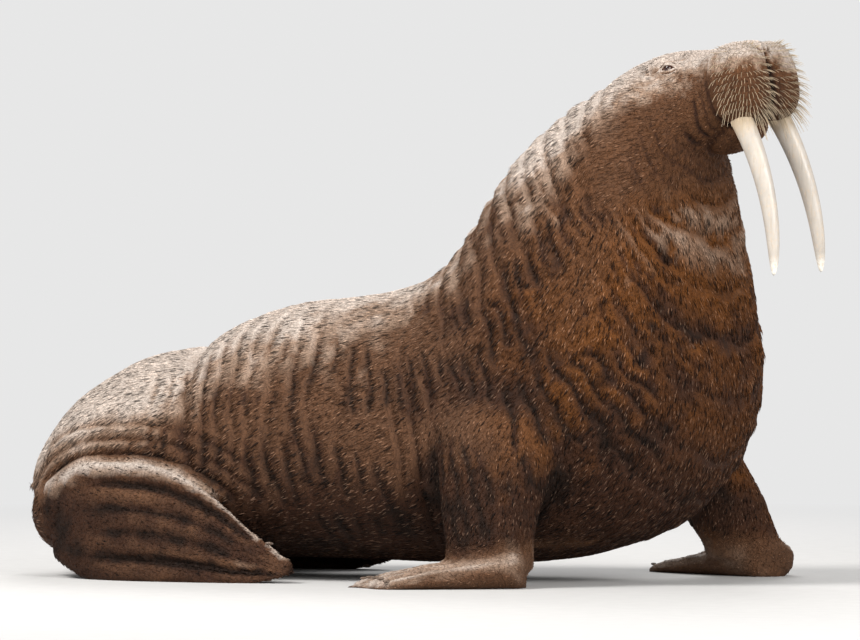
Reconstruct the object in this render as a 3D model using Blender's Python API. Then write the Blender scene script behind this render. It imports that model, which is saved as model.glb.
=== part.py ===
"""A life-size bull walrus sitting up on its foreflippers, head raised and turned a little to its right.

Metres, +Z up, +X is the way the body faces, +Y is the animal's left. The body is modelled whole, as
rounded forms fused into one surface, and then parted with thin cuts into the pieces a person would name.
"""

import math

import bmesh
import bpy
import numpy as np
from mathutils import Matrix, Vector

# The body as a whole
GAP = 0.0003
GRAIN = 0.013
SMOOTHING = 36
LAST_SMOOTHING = 2
BODY_SHARE = 0.035
PLAIN_LEAST = 0.3
FACE_REACH = 0.35
FACE_PLAINNESS = 0.6
FLOOR = ((-3, -3, -1), (3, 3, 0))

# Colour (linear), roughness and metallic of each finish
FINISHES = {
    "pale hide": ((0.36, 0.26, 0.20), 0.75, 0.0),
    "brown hide": ((0.17, 0.095, 0.055), 0.72, 0.0),
    "dark hide": ((0.075, 0.040, 0.024), 0.70, 0.0),
    "ivory": ((0.72, 0.66, 0.55), 0.35, 0.0),
    "eye": ((0.012, 0.008, 0.006), 0.08, 0.0),
}
WORN_BY = {
    "rump": "pale hide",
    "torso": "pale hide",
    "tail": "brown hide",
    "neck": "brown hide",
    "chest": "brown hide",
    "head": "pale hide",
    "muzzle_pad": "brown hide",
    "lower_jaw": "brown hide",
    "arm": "brown hide",
    "foreflipper": "dark hide",
    "ankle": "brown hide",
    "hind_flipper": "dark hide",
    "tusk": "ivory",
    "eye": "eye",
}
SHARP_DEG = 50.0

# Cross-sections of the trunk from the rump to the throat: the top of the back (x, z), the underside
# (x, z), half the width, and how far the widest level sags below the middle.
TRUNK = (
    ("rump end", -1.415, 0.370, -1.400, 0.235, 0.120, 0.00),
    ("tail root", -1.350, 0.485, -1.330, 0.150, 0.235, 0.04),
    ("rump", -1.190, 0.648, -1.170, 0.085, 0.345, 0.08),
    ("hips", -1.000, 0.750, -1.000, 0.075, 0.405, 0.12),
    ("rump fold", -0.810, 0.790, -0.800, 0.070, 0.435, 0.14),
    ("loin", -0.640, 0.880, -0.610, 0.065, 0.450, 0.16),
    ("flank", -0.460, 0.938, -0.420, 0.065, 0.468, 0.16),
    ("mid back", -0.280, 0.958, -0.190, 0.062, 0.475, 0.16),
    ("last ribs", -0.100, 0.980, 0.070, 0.055, 0.480, 0.15),
    ("withers", 0.030, 1.028, 0.300, 0.055, 0.485, 0.13),
    ("shoulders", 0.140, 1.140, 0.570, 0.085, 0.492, 0.11),
    ("breast", 0.245, 1.310, 0.850, 0.180, 0.480, 0.08),
    ("chest", 0.350, 1.445, 1.042, 0.365, 0.460, 0.06),
    ("neck root", 0.460, 1.545, 1.122, 0.600, 0.415, 0.05),
    ("neck", 0.570, 1.622, 1.110, 0.840, 0.372, 0.04),
    ("upper neck", 0.668, 1.675, 1.070, 1.065, 0.325, 0.03),
    ("throat", 0.748, 1.722, 1.042, 1.265, 0.270, 0.02),
    ("nape", 0.818, 1.755, 1.025, 1.400, 0.210, 0.00),
)
TRUNK_SQUARENESS = 2.25
TURN_FROM = 0.15
TURN_TO = 1.15
TURN_DEG = -18.0

# Folds round the trunk: where on the back, counted in cross-sections, how far each leans forward at the
# belly, its depth, its half-width, and the heights between which it runs (1 is the back, -1 the belly).
FOLDS = (
    ("rump crease", 4.15, 0.55, 0.024, 0.20, 1.30, -0.60),
    ("loin", 5.10, 0.08, 0.008, 0.24, 0.85, -0.60),
    ("loin", 5.90, 0.00, 0.008, 0.24, 0.80, -0.60),
    ("armpit", 8.70, -0.20, 0.013, 0.14, 0.40, -0.85),
    ("withers", 9.55, 0.05, 0.008, 0.16, 1.30, 0.45),
    ("withers", 10.05, 0.08, 0.009, 0.17, 1.30, 0.45),
    ("mane", 10.55, 0.10, 0.010, 0.18, 1.30, 0.40),
    ("mane", 11.10, 0.10, 0.010, 0.19, 1.30, 0.40),
    ("mane", 11.68, 0.10, 0.010, 0.20, 1.30, 0.40),
    ("mane", 12.28, 0.08, 0.010, 0.21, 1.30, 0.40),
    ("mane", 12.92, 0.06, 0.010, 0.22, 1.30, 0.40),
    ("mane", 13.60, 0.05, 0.009, 0.23, 1.30, 0.40),
    ("mane", 14.32, 0.05, 0.009, 0.24, 1.30, 0.45),
    ("mane", 15.08, 0.05, 0.008, 0.25, 1.30, 0.50),
    ("throat", 16.55, 0.00, 0.012, 0.20, 0.00, -1.30),
    ("throat", 15.95, 0.05, 0.011, 0.20, -0.05, -1.30),
    ("throat", 15.30, 0.10, 0.009, 0.20, -0.10, -1.30),
    ("chest", 14.55, 0.10, 0.008, 0.20, -0.20, -1.30),
    ("chest", 13.75, 0.10, 0.007, 0.19, -0.25, -1.30),
    ("chest", 12.95, 0.12, 0.006, 0.18, -0.30, -1.30),
)

# The arms as tubes of oval sections: centre (x, y, z), half-size fore and aft, half-size across.
ARM_RIGHT = (
    ("in the chest", 0.345, -0.240, 0.720, 0.190, 0.100),
    ("shoulder", 0.370, -0.385, 0.600, 0.215, 0.140),
    ("upper arm", 0.390, -0.480, 0.450, 0.205, 0.132),
    ("forearm", 0.385, -0.530, 0.280, 0.180, 0.115),
    ("wrist", 0.385, -0.550, 0.150, 0.155, 0.105),
    ("palm root", 0.390, -0.555, 0.060, 0.150, 0.105),
)
ARM_LEFT = (
    ("in the chest", 0.610, 0.200, 0.680, 0.200, 0.100),
    ("shoulder", 0.690, 0.300, 0.560, 0.225, 0.140),
    ("upper arm", 0.780, 0.370, 0.420, 0.212, 0.128),
    ("forearm", 0.870, 0.425, 0.290, 0.180, 0.115),
    ("wrist", 0.955, 0.455, 0.150, 0.145, 0.100),
    ("palm root", 0.980, 0.460, 0.060, 0.130, 0.100),
)
ARM_MARGIN = 0.030
HAND_RIGHT_BOX = ((-0.40, -1.30, -0.10), (0.80, -0.385, 0.120))
HAND_LEFT_BOX = ((0.45, 0.300, -0.10), (1.40, 1.30, 0.120))
HEAD_ROW = 17.0
NECK_ROW = 13.0
CHEST_ROW = 8.0
TORSO_ROW = 4.3

# A foreflipper: its heel, the way its fingers point, and its sizes.
HEEL_RIGHT = Vector((0.515, -0.545, 0.0))
HEEL_LEFT = Vector((1.105, 0.440, 0.0))
HAND_RIGHT_DEG = 180 + 20
HAND_LEFT_DEG = 180 - 35
HAND_LENGTH = 0.62
HAND_WIDTH = 0.28
HAND_THICK = 0.140
HAND_TIP_THICK = 0.034
HAND_SUNK = 0.010
HAND_TOP = 0.13
HAND_BLEND = 0.10
FINGERS = 5
FINGER_NOTCH = 0.075
FINGER_RIDGE = 0.30
NAIL = (0.016, 0.009, 0.006)

# The head in its own axes: x to the nose, y to the animal's left, z to the crown. Its cross-sections run
# from the nape to the nose: x, top, underside, half the width, and how far the widest level sags.
HEAD_PLACE = Vector((0.967, -0.130, 1.652))
HEAD_TURN = (2.5, -12.0, -22.0)
HEAD = (
    ("inside the neck", -0.250, 0.085, -0.215, 0.135, 0.10),
    ("occiput", -0.170, 0.128, -0.255, 0.178, 0.14),
    ("crown", -0.080, 0.140, -0.245, 0.176, 0.16),
    ("brow", 0.010, 0.132, -0.225, 0.160, 0.18),
    ("bridge", 0.100, 0.114, -0.205, 0.142, 0.14),
    ("snout", 0.190, 0.110, -0.180, 0.130, 0.08),
    ("nose", 0.275, 0.112, -0.115, 0.092, 0.00),
    ("nose end", 0.330, 0.086, -0.030, 0.055, 0.00),
)
JOWL = ((-0.140, 0, -0.085), (0.240, 0.190, 0.220))
PAD_CENTRE = Vector((0.245, 0.081, -0.036))
PAD_RADII = Vector((0.105, 0.088, 0.139))
PAD_SQUARENESS = 2.6
PAD_TOE_OUT = 14.0
CHIN_CENTRE = Vector((0.145, 0, -0.185))
CHIN_RADII = (0.125, 0.080, 0.062)
MOUTH_LINE = 0.002

# Whiskers stand in rows down each pad and in columns from its front round to its outer side.
WHISKER_ROWS = 9
WHISKER_COLUMNS = 6
WHISKER_TOP_DEG = 48.0
WHISKER_LOW_DEG = -62.0
WHISKER_FRONT_DEG = -22.0
WHISKER_BACK_DEG = 92.0
WHISKER_LEAST = 0.024
WHISKER_MOST = 0.070
WHISKER_ROOT = 0.0022
WHISKER_TIP = 0.0008
WHISKER_SUNK = 0.014
WHISKER_DROOP = 0.55
WHISKER_STRAY = 0.10
WHISKER_SEED = 11
WHISKER_CLEAR = 0.014

EYE_CENTRE = Vector((-0.006, 0.105, 0.071))
EYE_RADIUS = 0.021
EYE_TURN_OUT = 66.0
LID_RADII = (0.040, 0.0245, 0.031)
LID_OPENING = (0.016, 0.030, 0.0085)
EAR_CENTRE = Vector((-0.125, 0.182, 0.028))
EAR_PIT = (0.008, 0.022, 0.006)
NOSTRIL_CENTRE = Vector((0.318, 0.030, 0.068))
NOSTRIL_PIT = (0.026, 0.008, 0.013)

# A tusk runs from its socket down and forward, curving back to upright.
TUSK_ROOT = Vector((0.215, 0.100, -0.085))
TUSK_LENGTH = 0.620
TUSK_START_DEG = 24.0
TUSK_CURVE_DEG = 38.0
TUSK_SPLAY_DEG = 3.0
TUSK_THICK = 0.044
TUSK_SIDE = 0.74
TUSK_TAPER = 0.52
TUSK_STEPS = 60

# The hind legs tuck forward under the rump, each ending in a broad fan.
HIND_FORMS = (
    ("hip", (-1.020, 0.240, 0.360), (0.290, 0.165, 0.265)),
    ("ankle", (-1.130, 0.275, 0.235), (0.215, 0.130, 0.180)),
)
HIND_CUT = ((-1.130, 0.330, 0.270), (0.265, 0.190, 0.260))
TAIL_CENTRE = Vector((-1.415, 0, 0.300))
TAIL_RADII = (0.060, 0.055, 0.028)
TAIL_BOX = ((-1.60, -0.075, 0.255), (-1.385, 0.075, 0.345))

# A hind flipper's cross-sections from the ankle to the toes: the upper edge (x, y, z), the lower edge
# (x, y, z) and the thickness.
FAN = (
    ("ankle", -1.250, 0.330, 0.310, -1.230, 0.350, 0.062, 0.110),
    ("heel", -1.120, 0.400, 0.385, -1.100, 0.425, 0.004, 0.125),
    ("instep", -0.960, 0.430, 0.400, -0.940, 0.500, -0.012, 0.100),
    ("ball", -0.790, 0.450, 0.380, -0.770, 0.535, -0.014, 0.080),
    ("toe roots", -0.620, 0.465, 0.305, -0.610, 0.550, -0.014, 0.064),
    ("toes", -0.460, 0.480, 0.190, -0.450, 0.550, -0.012, 0.052),
    ("toe ends", -0.315, 0.490, 0.095, -0.290, 0.540, 0.002, 0.036),
)
TOES = 5
TOE_RIDGE = 0.5
TOE_NOTCH = 0.06
FAN_GRAIN = 0.009
FAN_SHARE = 0.035
FAN_NAIL = (0.020, 0.006, 0.008)
PAD_SHARE = 0.14


def rows_at(rows, along):
    """The numbers of a table of cross-sections, smoothly between its rows; along runs from 0 to 1."""
    values = np.array([row[1:] for row in rows], float)
    last = len(values) - 1
    place = min(max(along, 0.0), 1.0) * last
    left = min(int(place), last - 1)
    t = place - left
    before, start = values[max(left - 1, 0)], values[left]
    end, after = values[left + 1], values[min(left + 2, last)]
    slope_in, slope_out = (end - before) / 2, (after - start) / 2
    return (
        (2 * t**3 - 3 * t**2 + 1) * start
        + (t**3 - 2 * t**2 + t) * slope_in
        + (3 * t**2 - 2 * t**3) * end
        + (t**3 - t**2) * slope_out
    )


def signed_power(value, power):
    return math.copysign(abs(value) ** power, value)


def turn_at(x):
    """How far round the front of the body has swung at x, in radians, and how far it has moved aside."""
    share = min(max((x - TURN_FROM) / (TURN_TO - TURN_FROM), 0.0), 1.0)
    angle = math.radians(TURN_DEG) * share
    swing = angle / 2 * min(max(x - TURN_FROM, 0.0), TURN_TO - TURN_FROM)
    return angle, swing + max(x - TURN_TO, 0.0) * math.sin(angle)


def turned(point):
    """The front of the body swings to the animal's right, more and more towards the head."""
    angle, aside = turn_at(point.x)
    return Vector((point.x - point.y * math.sin(angle), aside + point.y * math.cos(angle), point.z))


def trunk_point(along, round_it):
    """A point of the trunk's skin; round_it turns from the back over the left side."""
    back_x, back_z, belly_x, belly_z, half_width, sag = rows_at(TRUNK, along)
    back, belly = Vector((back_x, 0, back_z)), Vector((belly_x, 0, belly_z))
    height = signed_power(math.cos(round_it), 2 / TRUNK_SQUARENESS)
    side = signed_power(math.sin(round_it), 2 / TRUNK_SQUARENESS)
    centre = (back + belly) / 2 + (back - belly) / 2 * height
    return turned(centre + Vector((0, half_width * side * (1 - sag * height), 0)))


def trunk_places(points):
    """Where points lie on the trunk: counted in cross-sections along it, and from -1 belly to 1 back."""
    x, y, z = points.T.copy()
    straight = x.copy()
    for _ in range(3):
        bend = np.array([turn_at(value) for value in straight])
        offset = (y - bend[:, 1]) / np.cos(bend[:, 0])
        straight = x + offset * np.sin(bend[:, 0])
    steps = np.linspace(0, 1, 16 * len(TRUNK))
    rings = np.array([rows_at(TRUNK, step)[:4] for step in steps])
    back, belly = rings[:, 0:2], rings[:, 2:4]
    down = belly - back
    reach = np.stack([straight, z], 1)[:, None, :] - back[None, :, :]
    past = down[None, :, 1] * reach[:, :, 0] - down[None, :, 0] * reach[:, :, 1]
    ahead = past < 0
    left = np.clip(ahead.sum(1) - 1, 0, len(steps) - 2)
    pick = np.arange(len(points))
    start, end = past[pick, left], past[pick, left + 1]
    share = np.clip(start / np.where(np.abs(start - end) < 1e-9, 1e-9, start - end), 0, 1)
    ring = (left + share) / (len(steps) - 1) * (len(TRUNK) - 1)
    line = down[left]
    level = (reach[pick, left] * line).sum(1) / (line * line).sum(1)
    return ring, 1 - 2 * level


def wrapped(place, along, around):
    """A closed tube: a grid rolled round so that place(along, angle) gives each of its points."""
    mesh = bmesh.new()
    bmesh.ops.create_grid(mesh, x_segments=along, y_segments=around, size=0.5)
    for vertex in mesh.verts:
        vertex.co = place(vertex.co.x + 0.5, math.tau * (vertex.co.y + 0.5))
    bmesh.ops.remove_doubles(mesh, verts=mesh.verts, dist=1e-5)
    bmesh.ops.holes_fill(mesh, edges=mesh.edges, sides=0)
    bmesh.ops.recalc_face_normals(mesh, faces=mesh.faces)
    return mesh


def egg(centre, radii, turn=(0, 0, 0), detail=4):
    """A rounded form: a sphere stretched, turned by degrees about X, Y and Z, and set in its place."""
    mesh = bmesh.new()
    bmesh.ops.create_icosphere(mesh, subdivisions=detail, radius=1.0)
    spin = Matrix.Identity(4)
    for degrees, axis in zip(turn, "XYZ"):
        spin = Matrix.Rotation(math.radians(degrees), 4, axis) @ spin
    place = Matrix.Translation(centre) @ spin @ Matrix.Diagonal((*radii, 1))
    bmesh.ops.transform(mesh, matrix=place, verts=mesh.verts)
    return mesh


def cushion(centre, radii, squareness, turn):
    """An egg with flatter faces."""
    mesh = egg((0, 0, 0), (1, 1, 1))
    for vertex in mesh.verts:
        vertex.co *= sum(abs(value) ** squareness for value in vertex.co) ** (-1 / squareness)
    spin = Matrix.Rotation(math.radians(turn), 4, "Z")
    place = Matrix.Translation(centre) @ spin @ Matrix.Diagonal((*radii, 1))
    bmesh.ops.transform(mesh, matrix=place, verts=mesh.verts)
    return mesh


def block(low, high, frame=None):
    """A box between two corners, for cutting with."""
    low, high = Vector(low), Vector(high)
    mesh = bmesh.new()
    bmesh.ops.create_cube(mesh, size=1.0)
    place = Matrix.Translation((low + high) / 2) @ Matrix.Diagonal((*(high - low), 1))
    bmesh.ops.transform(mesh, matrix=(frame or Matrix.Identity(4)) @ place, verts=mesh.verts)
    return mesh


def put(name, mesh):
    """A bmesh as an object of the scene."""
    data = bpy.data.meshes.new(name)
    mesh.to_mesh(data)
    mesh.free()
    thing = bpy.data.objects.new(name, data)
    bpy.context.scene.collection.objects.link(thing)
    return thing


def joined(name, meshes):
    """Several bmeshes as one object, each still a shell of its own."""
    whole = bmesh.new()
    for mesh in meshes:
        data = bpy.data.meshes.new("form")
        mesh.to_mesh(data)
        mesh.free()
        whole.from_mesh(data)
        bpy.data.meshes.remove(data)
    return put(name, whole)


def copied(thing, name):
    twin = bpy.data.objects.new(name, thing.data.copy())
    bpy.context.scene.collection.objects.link(twin)
    return twin


def settled(thing):
    """Applies an object's modifiers."""
    bpy.context.view_layer.update()
    graph = bpy.context.evaluated_depsgraph_get()
    data = bpy.data.meshes.new_from_object(thing.evaluated_get(graph))
    thing.modifiers.clear()
    thing.data = data
    return thing


def largest_only(thing):
    """Keeps the largest closed surface of an object."""
    mesh = bmesh.new()
    mesh.from_mesh(thing.data)
    bmesh.ops.triangulate(mesh, faces=mesh.faces)
    left = set(mesh.verts)
    shells = []
    while left:
        shell = {left.pop()}
        edge = list(shell)
        while edge:
            near = {link.other_vert(vertex) for vertex in edge for link in vertex.link_edges} - shell
            shell |= near
            edge = list(near)
        left -= shell
        faces = {face for vertex in shell for face in vertex.link_faces}
        volume = sum(a.co.dot(b.co.cross(c.co)) for a, b, c in (face.verts for face in faces))
        shells.append((volume, shell))
    keep = max(shells, key=lambda pair: pair[0])[1]
    bmesh.ops.delete(mesh, geom=[vertex for vertex in mesh.verts if vertex not in keep], context="VERTS")
    mesh.to_mesh(thing.data)
    mesh.free()
    return thing


def carved(thing, tools, operation="DIFFERENCE", solver="EXACT"):
    """Cuts the tools away from an object, or joins them to it, and removes them."""
    group = bpy.data.collections.new("tools")
    for tool in tools:
        group.objects.link(tool)
    change = thing.modifiers.new(operation.lower(), "BOOLEAN")
    change.operation = operation
    change.solver = solver
    change.operand_type = "COLLECTION"
    change.collection = group
    settled(thing)
    for tool in tools:
        bpy.data.objects.remove(tool)
    bpy.data.collections.remove(group)
    return largest_only(thing)


def swollen(thing, by):
    """A copy that stands proud of the object all over, to cut a neighbour clear of it."""
    twin = copied(thing, "swollen")
    swell = twin.modifiers.new("swell", "DISPLACE")
    swell.strength = by
    swell.mid_level = 0.0
    return settled(twin)


def parted(thing, name, cutter):
    """Parts what lies inside the cutter from an object as a piece of its own, with a thin gap between."""
    tool = put("cutter", cutter)
    piece = copied(thing, name)
    carved(thing, [swollen(tool, GAP)])
    inside = piece.modifiers.new("inside", "BOOLEAN")
    inside.operation = "INTERSECT"
    inside.object = tool
    settled(piece)
    bpy.data.objects.remove(tool)
    return largest_only(piece)


def weighted(thing, name, weight):
    group = thing.vertex_groups.new(name=name)
    for vertex in thing.data.vertices:
        group.add([vertex.index], weight(vertex.co), "REPLACE")


def away_from_hands(place):
    return min(max((place.z - HAND_TOP) / HAND_BLEND, 0.0), 1.0)


def remeshed(thing, grain):
    """Skins over everything an object holds with small even faces."""
    remesh = thing.modifiers.new("fuse", "REMESH")
    remesh.mode = "VOXEL"
    remesh.voxel_size = grain
    return settled(thing)


def plainness(place):
    """The hands and the face keep more faces than the trunk."""
    most = 1.0 if (place - HEAD_PLACE).length > FACE_REACH else FACE_PLAINNESS
    return PLAIN_LEAST + (1 - PLAIN_LEAST) * min(away_from_hands(place), most)


def fused(thing):
    """Overlapping forms become one skin, its hollows filled in smoothly but for the hands."""
    remeshed(thing, GRAIN)
    weighted(thing, "soft", away_from_hands)
    for name, rounds, where in (("smooth", SMOOTHING, "soft"), ("last smooth", LAST_SMOOTHING, "")):
        smooth = thing.modifiers.new(name, "SMOOTH")
        smooth.factor = 0.5
        smooth.iterations = rounds
        smooth.vertex_group = where
    return settled(thing)


def thinned(thing, share, plain=""):
    """Fewer faces; where the group named says plain, they go first."""
    thin = thing.modifiers.new("thin", "DECIMATE")
    thin.ratio = share
    thin.vertex_group = plain
    return settled(thing)


def fold_depths(points):
    """How deep the folds of the trunk's skin lie at each point."""
    ring, height = trunk_places(points)
    depth = np.zeros(len(points))
    for _, place, lean, deep, half_width, top, bottom in FOLDS:
        middle = place + lean * (1 - height) / 2
        window = 1 / (1 + np.exp(-12 * (top - height))) / (1 + np.exp(-12 * (height - bottom)))
        depth += deep * np.exp(-(((ring - middle) / half_width) ** 2)) * window
    return depth


def fold(thing):
    """Presses the folds into the trunk."""
    vertices = thing.data.vertices
    points = np.array([vertex.co for vertex in vertices])
    normals = np.array([vertex.normal for vertex in vertices])
    depth = fold_depths(points) * np.clip((points[:, 2] - HAND_TOP) / HAND_BLEND, 0, 1)
    vertices.foreach_set("co", (points - normals * depth[:, None]).ravel())
    thing.data.update()


def arm(rows, wider=0.0, detail=(24, 32)):
    """An arm down from the chest, its oval sections lying level."""

    def place(along, angle):
        x, y, z, fore, across = rows_at(rows, along)
        return Vector((x + (fore + wider) * math.cos(angle), y + (across + wider) * math.sin(angle), z))

    return wrapped(place, *detail)


def hand_point(heel, heading_deg, side, along, angle):
    """A point of a foreflipper's skin: along from heel to fingertips, the angle round its section."""
    ahead = Vector((math.cos(math.radians(heading_deg)), math.sin(math.radians(heading_deg)), 0))
    across = Vector((-ahead.y, ahead.x, 0)) * side
    spread = math.cos(angle)
    lobe = abs(math.sin(FINGERS * math.pi * (spread + 1) / 2))
    reach = HAND_LENGTH * (1 - 0.16 * (spread * 0.5 + 0.5) - FINGER_NOTCH * (1 - lobe) * along**2)
    width = HAND_WIDTH / 2 * (0.82 + 0.36 * along - 0.20 * along**3)
    thick = HAND_THICK * (1 - along) ** 0.8 * (1 - 0.2 * along) + HAND_TIP_THICK * along
    thick *= math.sqrt(max(1 - along**8, 0.0)) * (1 + FINGER_RIDGE * (lobe - 0.5) * along)
    level = thick / 2 * signed_power(math.sin(angle), 0.8)
    rim = math.sqrt(max(1 - (2 * abs(along - 0.5)) ** 12, 0.0))
    lift = Vector((0, 0, thick / 2 - HAND_SUNK + level))
    return heel + ahead * reach * along + across * width * spread * rim + lift


def hand(heel, heading_deg, side):
    """A broad paw-like flipper, sole down: a fan of five webbed fingers, the first one the longest."""
    return wrapped(lambda along, angle: hand_point(heel, heading_deg, side, along, angle), 40, 80)


def hand_nails(heel, heading_deg, side):
    """The small nails, set back from the fingertips."""
    nails = []
    for finger in range(FINGERS):
        angle = math.acos(2 * (finger + 0.5) / FINGERS - 1)
        place = hand_point(heel, heading_deg, side, 0.84, angle)
        nails.append(put("nail", egg(place, NAIL, (0, 8, heading_deg), 1)))
    return nails


def head_frame():
    """Carries the head's own axes into the body's."""
    roll, pitch, yaw = (math.radians(value) for value in HEAD_TURN)
    spin = Matrix.Rotation(yaw, 4, "Z") @ Matrix.Rotation(pitch, 4, "Y") @ Matrix.Rotation(roll, 4, "X")
    return Matrix.Translation(HEAD_PLACE) @ spin


def on_head(mesh):
    bmesh.ops.transform(mesh, matrix=head_frame(), verts=mesh.verts)
    return mesh


def head_point(along, round_it):
    x, top, bottom, half_width, sag = rows_at(HEAD, along)
    height = signed_power(math.cos(round_it), 0.9)
    side = signed_power(math.sin(round_it), 0.9)
    z = (top + bottom) / 2 + (top - bottom) / 2 * height
    return Vector((x, half_width * side * (1 - sag * height), z))


def head_form():
    return on_head(wrapped(head_point, 40, 40))


def mirrored(centre, side):
    return Vector((centre[0], centre[1] * side, centre[2]))


def pad(side, name):
    """A whiskered cushion of the upper lip."""
    form = cushion(mirrored(PAD_CENTRE, side), PAD_RADII, PAD_SQUARENESS, -PAD_TOE_OUT * side)
    return put(name, on_head(form))


def pad_surface(around, up):
    """A point of the left pad's surface and the way it faces, from two angles in degrees."""
    around, up = math.radians(around), math.radians(up)
    way = Vector((math.cos(around) * math.cos(up), math.sin(around) * math.cos(up), math.sin(up)))
    size = sum(abs(value) ** PAD_SQUARENESS for value in way) ** (-1 / PAD_SQUARENESS)
    spin = Matrix.Rotation(math.radians(-PAD_TOE_OUT), 3, "Z")
    place = PAD_CENTRE + spin @ Vector(way * size * radius for way, radius in zip(way, PAD_RADII))
    slope = [
        math.copysign(abs(value) ** (PAD_SQUARENESS - 1), value) / radius
        for value, radius in zip(way, PAD_RADII)
    ]
    return place, (spin @ Vector(slope)).normalized()


def whisker_point(root, out, reach):
    """A bristle runs straight out of the pad and droops towards its tip."""
    droop = Vector((-0.10, 0.12, -1.0)) * WHISKER_DROOP
    return root + out * reach + droop * max(reach, 0.0) ** 2 / WHISKER_MOST


def whisker(root, out, length, side):
    """One bristle of a pad, tapering from its sunken root."""
    across = out.cross(Vector((0, 0, 1))).normalized()
    up = across.cross(out)

    def place(along, angle):
        middle = whisker_point(root, out, along * (length + WHISKER_SUNK) - WHISKER_SUNK)
        thick = WHISKER_ROOT + (WHISKER_TIP - WHISKER_ROOT) * along
        return mirrored(middle + (across * math.cos(angle) + up * math.sin(angle)) * thick, side)

    return on_head(wrapped(place, 2, 3))


def stands_clear(root, out, length, line):
    """Whether a bristle keeps off the tusk and the cleft between the pads."""
    for reach in (0.0, length / 2, length):
        point = whisker_point(root, out, reach)
        if point.y < WHISKER_CLEAR or min((point - spot).length for spot in line) < TUSK_THICK + WHISKER_CLEAR:
            return False
    return True


def whiskers(side):
    """Every bristle of one pad, longest low down and at the outer side."""
    draw = np.random.default_rng(WHISKER_SEED)
    line = tusk_line()
    made = []
    for row in range(WHISKER_ROWS):
        down = row / (WHISKER_ROWS - 1)
        for column in range(WHISKER_COLUMNS):
            back = (column + 0.5 * (row % 2)) / (WHISKER_COLUMNS - 0.5)
            stray = draw.uniform(-1, 1, 3) * WHISKER_STRAY
            around = WHISKER_FRONT_DEG + (WHISKER_BACK_DEG - WHISKER_FRONT_DEG) * back
            up = WHISKER_TOP_DEG + (WHISKER_LOW_DEG - WHISKER_TOP_DEG) * down
            root, out = pad_surface(around + 20 * stray[0], up + 20 * stray[1])
            length = WHISKER_LEAST + (WHISKER_MOST - WHISKER_LEAST) * (0.65 * down + 0.35 * back)
            length *= 1 + stray[2]
            out = (out + Vector((0.10, 0.15, -0.30)) + Vector(stray)).normalized()
            if stands_clear(root, out, length, line):
                made.append(put("whisker", whisker(root, out, length, side)))
    return made


def tusk_line():
    """The middle line of the left tusk, in the head's own axes."""
    line = [TUSK_ROOT.copy()]
    splay = Matrix.Rotation(math.radians(TUSK_SPLAY_DEG), 3, "X")
    for step in range(TUSK_STEPS):
        lean = math.radians(TUSK_START_DEG - TUSK_CURVE_DEG * step / TUSK_STEPS)
        ahead = splay @ Vector((math.sin(lean), 0, -math.cos(lean)))
        line.append(line[-1] + ahead * TUSK_LENGTH / TUSK_STEPS)
    return line


def tusk(side, name="tusk"):
    """A tusk, oval in section and tapering to a blunt tip."""
    line = tusk_line()

    def place(along, angle):
        here = min(int(along * TUSK_STEPS), TUSK_STEPS - 1)
        point = line[here].lerp(line[here + 1], along * TUSK_STEPS - here)
        lean = math.radians(TUSK_START_DEG - TUSK_CURVE_DEG * along)
        fore = Vector((math.cos(lean), 0, math.sin(lean)))
        thick = TUSK_THICK * (1 - TUSK_TAPER * along) * math.sqrt(max(1 - along**9, 0.0))
        point = point + fore * thick * math.cos(angle)
        point = point + Vector((0, 1, 0)) * thick * TUSK_SIDE * math.sin(angle)
        return mirrored(point, side)

    return put(name, on_head(wrapped(place, 14, 12)))


def eye(side, wider=0.0):
    radius = EYE_RADIUS + wider
    return on_head(egg(mirrored(EYE_CENTRE, side), (radius, radius, radius), detail=2))


def eye_turn(side):
    """The way an eye looks: outwards and a little ahead."""
    return (0, 0, (EYE_TURN_OUT - 90) * side)


def head_details(head):
    """Lids, ear openings and nostrils."""
    lids = []
    for side in (1, -1):
        lids.append(put("lids", on_head(egg(mirrored(EYE_CENTRE, side), LID_RADII, eye_turn(side), 3))))
    carved(head, lids, "UNION")
    pits = []
    for side in (1, -1):
        turn = eye_turn(side)
        ahead = Matrix.Rotation(math.radians(turn[2]), 3, "Z") @ Vector((0, side * 0.032, 0))
        pits.append(put("slit", on_head(egg(mirrored(EYE_CENTRE, side) + ahead, LID_OPENING, turn, 3))))
        pits.append(put("socket", eye(side, GAP)))
        pits.append(put("ear", on_head(egg(mirrored(EAR_CENTRE, side), EAR_PIT, (0, 0, 0), 2))))
        turn = (0, 25, -20 * side)
        pits.append(put("nostril", on_head(egg(mirrored(NOSTRIL_CENTRE, side), NOSTRIL_PIT, turn, 2))))
    return carved(head, pits)


def fan_point(side, along, angle):
    """A point of a hind flipper's skin: along from ankle to toes, the angle round its section."""
    ux, uy, uz, lx, ly, lz, thick = rows_at(FAN, along)
    upper, lower = Vector((ux, uy, uz)), Vector((lx, ly, lz))
    spread = math.cos(angle)
    middle = (upper + lower) / 2
    up = (upper - lower) / 2
    out = Vector((1, 0, 0)).cross(up).normalized()
    edge = 0.55 + 0.45 * spread**4
    lobe = abs(math.sin(TOES * math.pi * (spread + 1) / 2))
    ridge = 1 + TOE_RIDGE * (lobe - 0.5) * along
    level = thick / 2 * signed_power(math.sin(angle), 0.8) * edge * ridge
    tip = math.sqrt(max(1 - along**10, 0.0))
    notch = Vector((-TOE_NOTCH * (1 - lobe) * along**3, 0, 0))
    point = middle + up * spread * (0.25 + 0.75 * tip) - out * level * tip + notch
    return mirrored(point, side)


def hind_flipper(side):
    """A fan set on edge against the flank: its upper and lower toes are thick, the web between thin."""
    return wrapped(lambda along, angle: fan_point(side, along, angle), 40, 60)


def fan_nails(side):
    nails = []
    for toe in range(TOES):
        angle = -math.acos(2 * (toe + 0.5) / TOES - 1)
        nails.append(put("nail", egg(fan_point(side, 0.86, angle), FAN_NAIL, (0, 25, 0), 1)))
    return nails


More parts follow.
